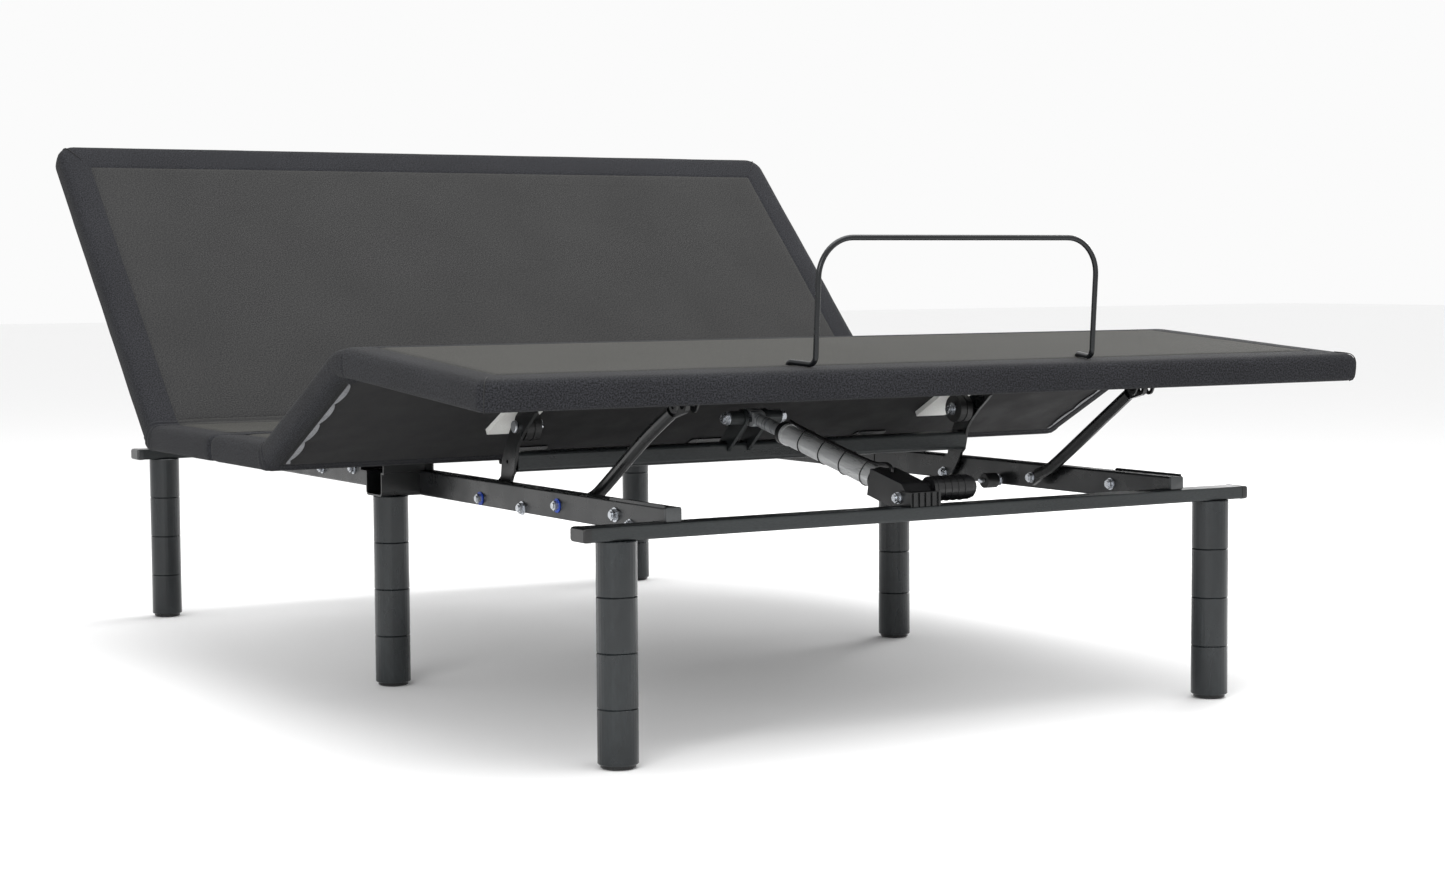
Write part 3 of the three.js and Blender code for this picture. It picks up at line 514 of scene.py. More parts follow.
FLAT = Vector((0, 0, HEAD_PIVOT.z))
deck_cover("head_cover", "head_panel", "head_pad", HEAD_PIVOT, HEAD_ANGLE,
           (HEAD_FOLD - FOLD_LAP, None), (HEAD_LENGTH, END_BORDER), HEAD_CORNER, 1.0)
deck_cover("seat_cover_head", "frame", "seat_pad_head", FLAT, 0,
           (SEAT_JOIN + 0.4, JOIN_BORDER), (HEAD_PIVOT.y - HEAD_FOLD + FOLD_LAP, None), JOIN_CORNER, 2.0)
deck_cover("seat_cover_foot", "frame", "seat_pad_foot", FLAT, 0,
           (THIGH_PIVOT.y + THIGH_FOLD - FOLD_LAP, None), (SEAT_JOIN - 0.4, JOIN_BORDER), JOIN_CORNER, 3.0)
deck_cover("thigh_cover", "thigh_panel", "thigh_pad", THIGH_PIVOT, -THIGH_ANGLE,
           (-THIGH_LENGTH + KNEE_FOLD - FOLD_LAP, None), (-THIGH_FOLD + FOLD_LAP, None), JOIN_CORNER, 4.0)
deck_cover("foot_cover", "foot_panel", "foot_pad", KNEE_PIVOT, FOOT_ANGLE,
           (-FOOT_LENGTH, END_BORDER), (-KNEE_FOLD + FOLD_LAP, None), FOOT_CORNER, 5.0)


def easing(t, soft):
    return (math.sqrt(t * t + soft * soft) + t) / 2


def corner_seam(name, body, pivot, degrees, end, corner, side):
    """The sewn joint where the border turns a free corner: a raised cord of thread up the rim."""
    y_sign = 1 if end > 0 else -1
    path = []
    turn = math.radians(CORD_TURN)
    for inset, height in CORD_PATH:
        reach = max(corner - inset, CORD_LIMIT)
        x = side * (HALF - corner + reach * math.cos(turn))
        y = end - y_sign * corner + y_sign * reach * math.sin(turn)
        path.append((x, y, height))
    seam = round_stock(name, None, path, CORD_RADIUS, THREAD, 8)
    settle(seam, pivot, degrees)
    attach(seam, body)


def smooth_step(t):
    t = min(1.0, max(0.0, t))
    return t * t * (3 - 2 * t)


def fold_section():
    """Outline of the padded band: (x, height share), anticlockwise seen from the foot end."""
    right = [(HALF - 26, -0.6), (HALF - 9, -0.9), (HALF - 3.2, 1.4), (HALF - 0.2, 6), (HALF + 0.5, 12),
             (HALF + 0.9, 21), (HALF + 0.6, 29), (HALF - 1, 34.8), (HALF - 4.5, 39.4), (HALF - 9.5, 42.1),
             (HALF - 17, 43.1), (HALF - SIDE_BORDER + 7, 43.2), (HALF - SIDE_BORDER + 2.2, 42.7),
             (HALF - SIDE_BORDER, 41.3), (HALF - SIDE_BORDER - 2.2, 42.8), (HALF - SIDE_BORDER - 8, 43.6)]
    inner = HALF - SIDE_BORDER - 8
    top = [(inner - 2 * inner * k / 60, 43.9) for k in range(1, 60)]
    left = [(-x, z) for x, z in reversed(right)]
    return [(x, z / THICK) for x, z in right + top + left]


def fold_band(name, bodies, pivot, into, out, reach, soft, seed, wrinkle):
    """A padded band across a fold, shaped in a bend from one panel to the other and fixed to the first body only;
    it closes the covers' ends.
    """
    bodies_a, bodies_b = bodies
    up_in = Vector((0, -into.z, into.y))
    up_out = Vector((0, -out.z, out.y))
    if up_in.z < 0:
        up_in = -up_in
    if up_out.z < 0:
        up_out = -up_out
    # crease: where the two top planes meet
    a = pivot + up_in * THICK
    b = pivot + up_out * THICK
    det = into.y * out.z - into.z * out.y
    s = ((b.y - a.y) * out.z - (b.z - a.z) * out.y) / det
    crease = a + into * s
    far_in = (pivot - into * reach + up_in * THICK - crease).length
    far_out = (pivot + out * reach + up_out * THICK - crease).length
    section = fold_section()
    points = []
    for k in range(BAND_STEPS + 1):
        t = -1 + 2 * k / BAND_STEPS
        low = (pivot - into * reach * easing(-t, BAND_UNDERSIDE)
               + out * reach * easing(t, BAND_UNDERSIDE))
        top = crease - into * far_in * easing(-t, soft) + out * far_out * easing(t, soft)
        dip = BAND_PROUD - BAND_DIP * smooth_step((abs(t) - BAND_LEVEL) / BAND_FALL)
        for x, share in section:
            x *= 1 + dip / HALF
            p = low.lerp(top, 0.5 + (share - 0.5) * (1 + 2 * dip / THICK))
            bulge = wrinkle * (1 - t * t) * noise.noise(Vector((x / 70, t * 2.4, seed)))
            edge = min(1.0, max(0.0, (abs(x) - HALF + 120) / 110))
            p = p + (top - low).normalized() * bulge * (0.35 + edge) * (1 if share > 0.6 else 0.2)
            points.append((x + (bulge * 0.8 if abs(x) > HALF - 6 else 0), p.y, p.z))
    n = len(section)
    faces = []
    which = []
    for k in range(BAND_STEPS):
        for i in range(n):
            j = (i + 1) % n
            faces.append((k * n + i, k * n + j, (k + 1) * n + j, (k + 1) * n + i))
            x = (section[i][0] + section[j][0]) / 2
            top_side = section[i][1] > 0.9 and section[j][1] > 0.9
            which.append(1 if top_side and abs(x) < HALF - SIDE_BORDER else 0)
    faces.append(tuple(reversed(range(n))))
    which.append(0)
    faces.append(tuple(BAND_STEPS * n + i for i in range(n)))
    which.append(0)
    uv = []
    for f in faces:
        for i in f:
            x, share = section[i % n]
            run = (i // n) * 2 * reach / BAND_STEPS
            flat = abs(x) < HALF - 2
            uv.append((x * MM, run * MM) if flat else (share * THICK * MM, run * MM))
    obj = mesh_object(name, points, faces, [BORDER, INSET], which, uv=uv)
    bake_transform(obj)
    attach(obj, bodies_a)


def direction(degrees):
    a = math.radians(degrees)
    return Vector((0, math.cos(a), math.sin(a)))


fold_band("head_fold", ("frame", "head_panel"), HEAD_PIVOT, direction(0), direction(HEAD_ANGLE),
          HEAD_FOLD, 0.10, 3.1, 3.0)
fold_band("thigh_fold", ("frame", "thigh_panel"), THIGH_PIVOT, direction(180), direction(180 - THIGH_ANGLE),
          THIGH_FOLD, 0.12, 7.7, 2.4)
fold_band("knee_fold", ("thigh_panel", "foot_panel"), KNEE_PIVOT, direction(180 - THIGH_ANGLE),
          direction(180 + FOOT_ANGLE), KNEE_FOLD, 0.55, 11.3, 1.6)


# ---- bars and cables as smooth round stock ------------------------------
def round_stock(name, body, points, radius, material, sides=20):
    """A round rod or cord with capped ends through the given points, in millimetres."""
    curve = bpy.data.curves.new(name, "CURVE")
    curve.dimensions = "3D"
    curve.bevel_depth = radius * MM
    curve.bevel_resolution = sides // 4
    curve.use_fill_caps = True
    spline = curve.splines.new("POLY")
    spline.points.add(len(points) - 1)
    for p, q in zip(spline.points, points):
        p.co = (*(Vector(q) * MM), 1)
    obj = bpy.data.objects.new(name, curve)
    bpy.context.scene.collection.objects.link(obj)
    bpy.context.view_layer.update()
    mesh = bpy.data.meshes.new_from_object(obj.evaluated_get(bpy.context.evaluated_depsgraph_get()))
    bpy.data.objects.remove(obj)
    mesh.name = name
    mesh.polygons.foreach_set("use_smooth", [True] * len(mesh.polygons))
    made = new_object(name, mesh, [material])
    fix_shading(made, 50)
    if body:
        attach(made, body)
    return made


def rounded(points, radii, steps=14):
    """A path with each corner turned to its radius."""
    v = [Vector(p) for p in points]
    out = [v[0]]
    for i in range(1, len(v) - 1):
        back = (v[i - 1] - v[i]).normalized()
        ahead = (v[i + 1] - v[i]).normalized()
        half = back.angle(ahead) / 2
        cut = radii[i] / math.tan(half)
        centre = v[i] + (back + ahead).normalized() * (radii[i] / math.sin(half))
        a = v[i] + back * cut - centre
        b = v[i] + ahead * cut - centre
        axis = a.cross(b).normalized()
        turn = a.angle(b)
        for k in range(steps + 1):
            out.append(centre + Matrix.Rotation(turn * k / steps, 3, axis) @ a)
    out.append(v[-1])
    return out


for side, label in ((1, "right"), (-1, "left")):
    corner_seam(f"foot_corner_seam_{label}", "foot_panel", KNEE_PIVOT, FOOT_ANGLE, -FOOT_LENGTH,
                FOOT_CORNER, side)
    corner_seam(f"head_corner_seam_{label}", "head_panel", HEAD_PIVOT, HEAD_ANGLE, HEAD_LENGTH,
                HEAD_CORNER, side)


def retainer_bar():
    side = BAR_X + BAR_SPLAY
    path = [(-side, BAR_BACK, BAR_SUNK), (-side, BAR_BACK, BAR_LIE), (-BAR_X, BAR_FRONT, BAR_LIE),
            (-BAR_X, BAR_FRONT, BAR_TOP), (BAR_X, BAR_FRONT, BAR_TOP), (BAR_X, BAR_FRONT, BAR_LIE),
            (side, BAR_BACK, BAR_LIE), (side, BAR_BACK, BAR_SUNK)]
    obj = round_stock("retainer_rod", None, rounded(path, BAR_TURNS), BAR_RADIUS, BAR_PAINT)
    settle(obj, KNEE_PIVOT, FOOT_ANGLE)
    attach(obj, "foot_panel")
    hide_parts("retainer_bar")


retainer_bar()


# ---- turned and pressed fittings ----------------------------------------
def turned(name, body, profile, centre, axis, material, sides=32, smooth_limit=35):
    """A closed turned piece; profile is (radius, place along the axis) in millimetres."""
    axis = Vector(axis).normalized()
    turn = Vector((0, 0, 1)).rotation_difference(axis).to_matrix()
    points = []
    faces = []
    for r, z in profile:
        for k in range(sides):
            a = 2 * math.pi * k / sides
            points.append(Vector(centre) + turn @ Vector((r * math.cos(a), r * math.sin(a), z)))
    for i in range(len(profile) - 1):
        for k in range(sides):
            n = (k + 1) % sides
            faces.append((i * sides + k, i * sides + n, (i + 1) * sides + n, (i + 1) * sides + k))
    faces.append(tuple(reversed(range(sides))))
    faces.append(tuple((len(profile) - 1) * sides + k for k in range(sides)))
    obj = mesh_object(name, points, faces, [material])
    fix_shading(obj, smooth_limit)
    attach(obj, body)
    return obj


def bolt_tree():
    """Geometry Nodes: a hex head on a flanged washer, facing +X or -X, on every point of a mesh."""
    tree = bpy.data.node_groups.new("hex_bolts", "GeometryNodeTree")
    face = tree.interface
    face.new_socket("Geometry", in_out="INPUT", socket_type="NodeSocketGeometry")
    for label in ("Head Radius", "Head Height", "Washer Radius", "Washer Height", "Facing"):
        face.new_socket(label, in_out="INPUT", socket_type="NodeSocketFloat")
    face.new_socket("Head Material", in_out="INPUT", socket_type="NodeSocketMaterial")
    face.new_socket("Washer Material", in_out="INPUT", socket_type="NodeSocketMaterial")
    face.new_socket("Geometry", in_out="OUTPUT", socket_type="NodeSocketGeometry")
    inp = tree.nodes.new("NodeGroupInput").outputs
    half = add(tree, "ShaderNodeMath", {0: inp["Head Height"]}, {1: 0.5}, operation="MULTIPLY").outputs[0]
    lift = add(tree, "ShaderNodeMath", {0: half, 1: inp["Washer Height"]}, operation="ADD").outputs[0]
    head = add(tree, "GeometryNodeMeshCylinder",
               {"Radius": inp["Head Radius"], "Depth": inp["Head Height"]}, {"Vertices": 6})
    place = add(tree, "ShaderNodeCombineXYZ", {"Z": lift}).outputs[0]
    head = add(tree, "GeometryNodeTransform", {"Geometry": head.outputs[0], "Translation": place}).outputs[0]
    crown = add(tree, "ShaderNodeMath", {0: inp["Head Radius"]}, {1: HEX_CROWN}, operation="MULTIPLY")
    shank = add(tree, "GeometryNodeMeshCylinder", {"Radius": crown.outputs[0]},
                {"Vertices": 18, "Depth": SHANK_LENGTH * MM})
    top = add(tree, "ShaderNodeMath", {0: inp["Head Height"], 1: inp["Washer Height"]},
              operation="ADD").outputs[0]
    end = add(tree, "ShaderNodeCombineXYZ", {"Z": top}).outputs[0]
    shank = add(tree, "GeometryNodeTransform", {"Geometry": shank.outputs[0], "Translation": end}).outputs[0]
    low = add(tree, "ShaderNodeMath", {0: inp["Washer Height"]}, {1: 0.5}, operation="MULTIPLY").outputs[0]
    seat = add(tree, "ShaderNodeCombineXYZ", {"Z": low}).outputs[0]
    washer = add(tree, "GeometryNodeMeshCylinder",
                 {"Radius": inp["Washer Radius"], "Depth": inp["Washer Height"]}, {"Vertices": 24})
    washer = add(tree, "GeometryNodeTransform",
                 {"Geometry": washer.outputs[0], "Translation": seat}).outputs[0]
    washer = add(tree, "GeometryNodeSetMaterial", {"Geometry": washer, "Material": inp["Washer Material"]})
    bodies = add(tree, "GeometryNodeJoinGeometry")
    tree.links.new(head, bodies.inputs[0])
    tree.links.new(shank, bodies.inputs[0])
    bodies = add(tree, "GeometryNodeSetMaterial",
                 {"Geometry": bodies.outputs[0], "Material": inp["Head Material"]})
    whole = add(tree, "GeometryNodeJoinGeometry")
    tree.links.new(bodies.outputs[0], whole.inputs[0])
    tree.links.new(washer.outputs[0], whole.inputs[0])
    spin = add(tree, "ShaderNodeMath", {0: inp["Facing"]}, {1: math.pi / 2}, operation="MULTIPLY").outputs[0]
    angle = add(tree, "ShaderNodeCombineXYZ", {"Y": spin}).outputs[0]
    dots = add(tree, "GeometryNodeMeshToPoints", {"Mesh": inp["Geometry"]})
    many = add(tree, "GeometryNodeInstanceOnPoints",
               {"Points": dots.outputs[0], "Instance": whole.outputs[0], "Rotation": angle})
    real = add(tree, "GeometryNodeRealizeInstances", {"Geometry": many.outputs[0]})
    out = tree.nodes.new("NodeGroupOutput")
    tree.links.new(real.outputs[0], out.inputs[0])
    return tree


BOLTS = bolt_tree()


def socket_id(tree, label):
    for item in tree.interface.items_tree:
        if item.name == label and item.in_out == "INPUT":
            return item.identifier
    raise KeyError(label)


def run_nodes(name, tree, points, values, materials):
    mesh = bpy.data.meshes.new(name)
    mesh.from_pydata([tuple(Vector(p) * MM) for p in points], [], [])
    obj = new_object(name, mesh, [])
    mod = obj.modifiers.new("nodes", "NODES")
    mod.node_group = tree
    for label, value in {**values, **materials}.items():
        mod[socket_id(tree, label)] = value
    bpy.context.view_layer.update()
    done = bpy.data.meshes.new_from_object(obj.evaluated_get(bpy.context.evaluated_depsgraph_get()))
    done.name = name
    obj.modifiers.clear()
    obj.data = done
    return obj


def bolts(name, body, points, facing, across=13.0, tall=5.5, washer=9.5, washer_tall=1.4, ring=None):
    """Hex bolts at points given as (x, y, z) in millimetres, heads facing +X (1) or -X (-1)."""
    obj = run_nodes(
        name, BOLTS, points,
        {"Head Radius": across / 2 * MM * HEX_CORNER, "Head Height": tall * MM, "Washer Radius": washer * MM,
         "Washer Height": washer_tall * MM, "Facing": float(facing)},
        {"Head Material": ZINC, "Washer Material": ring or ZINC},
    )
    fix_shading(obj, 30)
    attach(obj, body)
    return obj


def yz(pair):
    """A point given from the foot legs' centre line, as (y, z)."""
    return pair[0] - CENTRE_Y, pair[1]


RAIL_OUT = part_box("foot_rail_right")[1].x / MM
RAIL_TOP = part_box("head_rail_right")[1].z / MM
RAIL_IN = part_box("foot_rail_right")[0].x / MM
STOP_BOLT = yz((418, 318))
LOCK_BOLT = yz((128, 331))
TAB_BOLT = yz((85, 322))
HEAD_STOP = yz((1061, 338))
for side, label in ((1, "right"), (-1, "left")):
    x = side * (RAIL_OUT + 0.1)
    plain = [(x, *STOP_BOLT), (x, *LOCK_BOLT), (x, *HEAD_STOP), (x, HEAD_LIFT.y, HEAD_LIFT.z)]
    bolts(f"rail_bolts_{label}", "frame", plain, side, across=14.0, washer=10.5)
    locked = [(x, LEG_LIFT.y, LEG_LIFT.z), (x, LINK_PIN.y, LINK_PIN.z)]
    bolts(f"rail_lock_bolts_{label}", "frame", locked, side, across=13.0, washer=10.5, ring=BLUE)
    bolts(f"rail_tab_bolts_{label}", "frame", [(x, *TAB_BOLT)], side, across=8.0, tall=4.0, washer=6.5)
    inner = side * (RAIL_IN - 0.1)
    bolts(f"rail_nuts_{label}", "frame", [(inner, *STOP_BOLT), (inner, *LOCK_BOLT), (inner, *HEAD_STOP)],
          -side, across=13.0, washer=9.5)
    for k, (y, z) in enumerate((STOP_BOLT, HEAD_STOP)):
        turned(f"stop_roller_{label}_{k + 1}", "frame", STOP_ROLLER,
               (inner - side * STOP_ROLLER_IN, y, z), (side, 0, 0), RUBBER)
        turned(f"stop_axle_{label}_{k + 1}", "frame", STOP_AXLE,
               (inner - side * STOP_AXLE_IN, y, z), (side, 0, 0), ZINC, 20)
    arm_in = side * (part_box("leg_lift_arm_right")[0].x / MM - 0.1)
    bolts(f"leg_lift_nut_{label}", "leg_lift", [(arm_in, LEG_LIFT.y, LEG_LIFT.z)], -side, across=13.0)
    bolts(f"head_lift_nut_{label}", "head_lift", [(arm_in, HEAD_LIFT.y, HEAD_LIFT.z)], -side, across=13.0)
    for kind, axle in (("leg", LEG_AXLE), ("head", HEAD_AXLE)):
        body = f"{kind}_lift"
        turned(f"{kind}_axle_pin_{label}", body, AXLE_PIN,
               (side * AXLE_PIN_X, axle.y, axle.z), (side, 0, 0), ZINC, 24)
        turned(f"{kind}_axle_washer_{label}", body, AXLE_WASHER,
               (side * AXLE_WASHER_X, axle.y, axle.z), (side, 0, 0), ZINC, 24)
        loop = []
        for k in range(CLIP_STEPS + 1):
            y = axle.y - CLIP_HALF + 2 * CLIP_HALF * k / CLIP_STEPS
            z = axle.z + CLIP_HEIGHT * math.sin(math.pi * k / 6)
            loop.append((side * AXLE_CLIP_X, y, z))
        round_stock(f"{kind}_axle_clip_{label}", body, loop, WIRE_RADIUS, ZINC, 8)
    link = f"link_{label}"
    bolts(f"link_nut_{label}", link, [(side * LINK_NUT_X, LINK_PIN.y, LINK_PIN.z)], -side, across=13.0,
          washer=8.5)


# ---- plugs in the open tube ends ----------------------------------------
def plug(name, centre, size, radius, turn, material):
    """A moulded end plug: size is (depth, width, height); turn spins its outward +X about Z."""
    depth, width, height = size
    ring = edge_ring(-width / 2, width / 2, -height / 2, height / 2, radius, across=4, along=4, corner=5)
    points = []
    for inset, share in PLUG_SHAPE:
        in_y = 1 - 2 * inset / width
        in_z = 1 - 2 * inset / height
        points += [(depth * share, y * in_y, z * in_z) for y, z in ring]
    n = len(ring)
    last = len(PLUG_SHAPE) - 1
    faces = []
    for r in range(last):
        for k in range(n):
            j = (k + 1) % n
            faces.append((r * n + k, r * n + j, (r + 1) * n + j, (r + 1) * n + k))
    faces.append(tuple(range(n)))
    faces.append(tuple(last * n + k for k in range(n)))
    obj = mesh_object(name, points, faces, [material])
    fix_shading(obj, 40)
    spin = Matrix.Rotation(math.radians(turn), 4, "Z")
    obj.data.transform(Matrix.Translation(Vector(centre) * MM) @ spin)
    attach(obj, "frame")


for bar_name in ("foot_crossbar", "head_crossbar"):
    low, high = (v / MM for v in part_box(bar_name))
    mid = (low + high) / 2
    for side in (1, -1):
        label = "right" if side > 0 else "left"
        pale = bar_name == "head_crossbar" and side < 0
        plug(f"{bar_name}_plug_{label}", (side * (high.x + 0.1), mid.y, mid.z),
             (PLUG_OUT, high.y - low.y + 0.8, high.z - low.z + 0.8), PLUG_CORNER,
             0 if side > 0 else 180, GREY_ABS if pale else ABS)
for rail_name, end in (("foot_rail", -1), ("head_rail", 1)):
    for side in (1, -1):
        label = "right" if side > 0 else "left"
        low, high = (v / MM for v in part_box(f"{rail_name}_{label}"))
        y = low.y if end < 0 else high.y
        top = RAIL_TOP
        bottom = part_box("foot_crossbar")[1].z / MM + 0.5
        plug(f"{rail_name}_plug_{label}", ((low.x + high.x) / 2, y + end * 0.1, (top + bottom) / 2),
             (RAIL_PLUG_OUT, high.x - low.x + 0.6, top - bottom + 0.4), RAIL_PLUG_CORNER, 90 * end,
             GREY_ABS)


# ---- actuator trim ------------------------------------------------------
LEG_PIN = Vector((0, *yz((455, 438))))
HEAD_PIN = Vector((0, *yz((1298.3, 398.83))))
for kind, pin in (("leg", LEG_PIN), ("head", HEAD_PIN)):
    body = f"{kind}_lift"
    turned(f"{kind}_clevis_bolt", body, CLEVIS_BOLT, (ACT_X - 50, pin.y, pin.z), (1, 0, 0), ZINC, 24)
    bolts(f"{kind}_clevis_head", body, [(ACT_X - CLEVIS_HALF, pin.y, pin.z)], -1, across=16.0, tall=7.0,
          washer=11.5)
    bolts(f"{kind}_clevis_nut", body, [(ACT_X + CLEVIS_HALF, pin.y, pin.z)], 1, across=16.0, tall=8.0,
          washer=11.5)
    rear = LEG_ACT if kind == "leg" else HEAD_ACT
    turned(f"{kind}_rear_pin", "frame", REAR_PIN, (ACT_X - 29, rear.y, rear.z), (1, 0, 0), ZINC, 24)
    bolts(f"{kind}_rear_head", "frame", [(ACT_X - 26.8, rear.y, rear.z)], -1, across=13.0, washer=8.6)

leg_span = (LEG_PIN - LEG_ACT).length
along = (LEG_PIN - LEG_ACT).normalized()
above = Vector((0, -along.z, along.y))


def on_leg_drive(s, n, x=ACT_X):
    p = LEG_ACT + along * s + above * n
    return Vector((x, p.y, p.z))


tube_front = leg_span - TUBE_END
cable_route = [on_leg_drive(s, n) for s, n in CABLE_STOPS]
cable_route += [on_leg_drive(tube_front - 20, 21.2), on_leg_drive(tube_front - 4, 22.4)]
cable = round_stock("actuator_lead", "leg_drive", cable_route, CABLE_RADIUS, CABLE, 16)
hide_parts("leg_actuator_cable")
for k, s in enumerate(TIE_PLACES):
    band = []
    for i in range(25):
        a = 2 * math.pi * i / 24
        r = TIE_RADIUS + TIE_RISE * max(0.0, math.sin(a)) ** 6
        band.append(on_leg_drive(s, r * math.sin(a), ACT_X + r * math.cos(a)))
    round_stock(f"cable_tie_{k + 1}", "leg_drive", band, WIRE_RADIUS, CABLE, 8)
    turned(f"cable_tie_lock_{k + 1}", "leg_drive", TIE_LOCK, on_leg_drive(s - 2.5, 15.8, ACT_X + 12),
           along, CABLE, 8)
for kind, rear, pin in (("leg", LEG_ACT, LEG_PIN), ("head", HEAD_ACT, HEAD_PIN)):
    line = (pin - rear).normalized()
    start = rear + line * ((pin - rear).length - TUBE_END)
    collar = turned(f"{kind}_tube_collar", f"{kind}_drive", TUBE_COLLAR, (ACT_X, start.y, start.z),
                    line, ABS, 40)
    throat = rear + line * THROAT
    turned(f"{kind}_tube_boot", f"{kind}_drive", TUBE_BOOT, (ACT_X, throat.y, throat.z), line, ABS, 40)

for kind in ("leg", "head"):
    low, high = (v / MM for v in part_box(f"{kind}_actuator_motor"))
    mid_y = (low.y + high.y) / 2
    mid_z = (low.z + high.z) / 2
    radius = (high.z - low.z) / 2
    for k in range(MOTOR_BANDS):
        turned(f"{kind}_motor_band_{k + 1}", f"{kind}_drive",
               [(radius - 0.4, 0), (radius + 0.7, 0.3), (radius + 0.7, 2.2), (radius - 0.4, 2.5)],
               (low.x + 6 + k * MOTOR_BAND_PITCH, mid_y, mid_z), (1, 0, 0), ABS, 40)


# ---- folded cover edge under the deck -----------------------------------
def edge_tape(name, body, pivot, degrees, y0, y1, side):
    """The folded edge of the cover, tacked under the board: a thin strip with a scalloped inner edge."""
    outer = side * (HALF - TAPE_IN)
    count = max(12, int(abs(y1 - y0) / TAPE_STEP))
    top = []
    for k in range(count + 1):
        y = y0 + (y1 - y0) * k / count
        pull = abs(math.sin(math.pi * (y - y0) / TAPE_SCALLOP)) ** 0.6
        wide = TAPE_NARROW + TAPE_SWELL * pull
        top.append((y, wide, TAPE_DROP * pull))
    points = []
    for y, wide, drop in top:
        points += [(outer, y, -0.9), (outer - side * wide, y, -1.1 - drop),
                   (outer - side * wide, y, -2.0 - drop), (outer, y, -2.1)]
    faces = []
    for k in range(count):
        for i in range(4):
            j = (i + 1) % 4
            faces.append((k * 4 + i, k * 4 + j, k * 4 + 4 + j, k * 4 + 4 + i))
    faces.append((0, 1, 2, 3))
    faces.append(tuple(count * 4 + i for i in range(4)))
    obj = mesh_object(name, points, faces, [TAPE])
    fix_shading(obj, 50)
    settle(obj, pivot, degrees)
    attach(obj, body)


for side, label in ((1, "right"), (-1, "left")):
    edge_tape(f"thigh_edge_tape_{label}", "thigh_panel", THIGH_PIVOT, -THIGH_ANGLE,
              -THIGH_LENGTH + 26, -26, side)
    edge_tape(f"foot_edge_tape_{label}", "foot_panel", KNEE_PIVOT, FOOT_ANGLE, -FOOT_LENGTH + 30, -26, side)
    edge_tape(f"head_edge_tape_{label}", "head_panel", HEAD_PIVOT, HEAD_ANGLE, 30, HEAD_LENGTH - 30, side)


# ---- hinges under the folds ---------------------------------------------
def leaf(name, body, pivot, degrees, x, y0, y1):
    ring = edge_ring(x - LEAF_HALF, x + LEAF_HALF, y0, y1, 6, across=3, along=3, corner=4)
    n = len(ring)
    points = [(a, b, LEAF_TOP) for a, b in ring] + [(a, b, LEAF_UNDER) for a, b in ring]
    faces = [tuple(range(n)), tuple(n + k for k in range(n))]
    faces += [(k, (k + 1) % n, n + (k + 1) % n, n + k) for k in range(n)]
    obj = mesh_object(name, points, faces, [COAT])
    fix_shading(obj, 30)
    settle(obj, pivot, degrees)
    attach(obj, body)


FOLDS = (
    ("head", HEAD_PIVOT, ("frame", 0, -50, -7), ("head_panel", HEAD_ANGLE, 7, 50)),
    ("thigh", THIGH_PIVOT, ("frame", 0, 7, 50), ("thigh_panel", -THIGH_ANGLE, -50, -7)),
    ("knee", KNEE_PIVOT, ("thigh_panel", -THIGH_ANGLE, 7, 50), ("foot_panel", FOOT_ANGLE, -50, -7)),
)
for fold, pivot, first, second in FOLDS:
    for k, x in enumerate(HINGE_PLACES):
        for tag, (body, degrees, y0, y1) in (("a", first), ("b", second)):
            leaf(f"{fold}_hinge_leaf_{tag}{k + 1}", body, pivot, degrees, x, y0, y1)
        turned(f"{fold}_hinge_pin_{k + 1}", first[0], HINGE_PIN,
               (x - HINGE_PIN_HALF, pivot.y, pivot.z - HINGE_PIN_DROP), (1, 0, 0), COAT, 20)


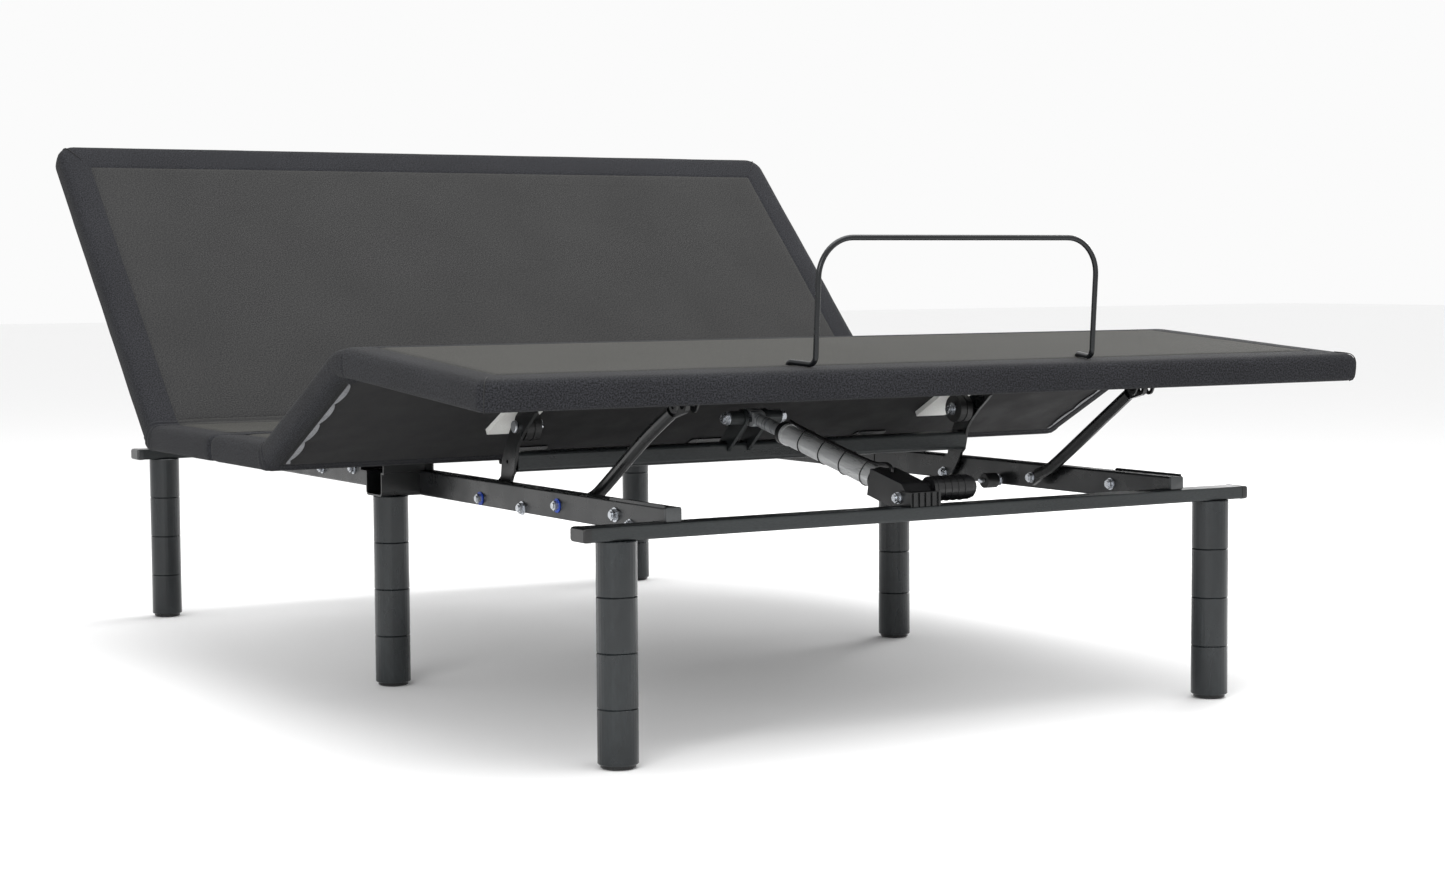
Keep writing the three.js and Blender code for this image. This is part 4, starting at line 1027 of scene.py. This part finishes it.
# ---- camera, floor and light --------------------------------------------
def camera():
    level = math.cos(CAMERA_PITCH)
    ahead = Vector((math.sin(CAMERA_YAW) * level, math.cos(CAMERA_YAW) * level, -math.sin(CAMERA_PITCH)))
    right = Vector((math.cos(CAMERA_YAW), -math.sin(CAMERA_YAW), 0))
    up = right.cross(ahead)
    turned_right = right * math.cos(CAMERA_ROLL) + up * math.sin(CAMERA_ROLL)
    turned_up = up * math.cos(CAMERA_ROLL) - right * math.sin(CAMERA_ROLL)
    data = bpy.data.cameras.new("camera")
    data.lens = CAMERA_LENS
    data.sensor_width = 36.0
    data.clip_end = 100
    obj = bpy.data.objects.new("camera", data)
    bpy.context.scene.collection.objects.link(obj)
    m = Matrix((turned_right, turned_up, -ahead)).transposed().to_4x4()
    m.translation = Vector(CAMERA_PLACE) * MM
    obj.matrix_world = m
    bpy.context.scene.camera = obj


def floor():
    mesh = bpy.data.meshes.new("floor")
    size = FLOOR_HALF
    mesh.from_pydata([(-size, -size, -FLOOR_DROP), (size, -size, -FLOOR_DROP), (size, size, -FLOOR_DROP),
                      (-size, size, -FLOOR_DROP)], [], [(0, 1, 2, 3)])
    new_object("floor", mesh, [start_material("pale_floor", "#f7f7f7", 0.9)[0]])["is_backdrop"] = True


def soft_light(name, place, target, size, power):
    data = bpy.data.lights.new(name, "AREA")
    data.shape = "RECTANGLE"
    data.size, data.size_y = size
    data.energy = power
    obj = bpy.data.objects.new(name, data)
    bpy.context.scene.collection.objects.link(obj)
    obj.location = place
    obj.rotation_euler = (Vector(target) - Vector(place)).to_track_quat("-Z", "Y").to_euler()


def lighting():
    world = bpy.data.worlds.new("studio")
    world.use_nodes = True
    world.node_tree.nodes["Background"].inputs["Color"].default_value = linear("#fbfbfb")
    world.node_tree.nodes["Background"].inputs["Strength"].default_value = 1.0
    bpy.context.scene.world = world
    bpy.context.scene.view_settings.view_transform = "Standard"
    soft_light("overhead", (0.2, -0.4, 3.6), (0, 0, 0.4), (4.0, 4.0), 150)
    soft_light("front_left", (-3.6, -3.6, 2.2), (0, -0.2, 0.4), (2.4, 2.0), 90)
    soft_light("right_rear", (4.0, 1.6, 2.0), (0, 0, 0.5), (2.0, 2.0), 70)


camera()
floor()
lighting()

low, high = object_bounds()
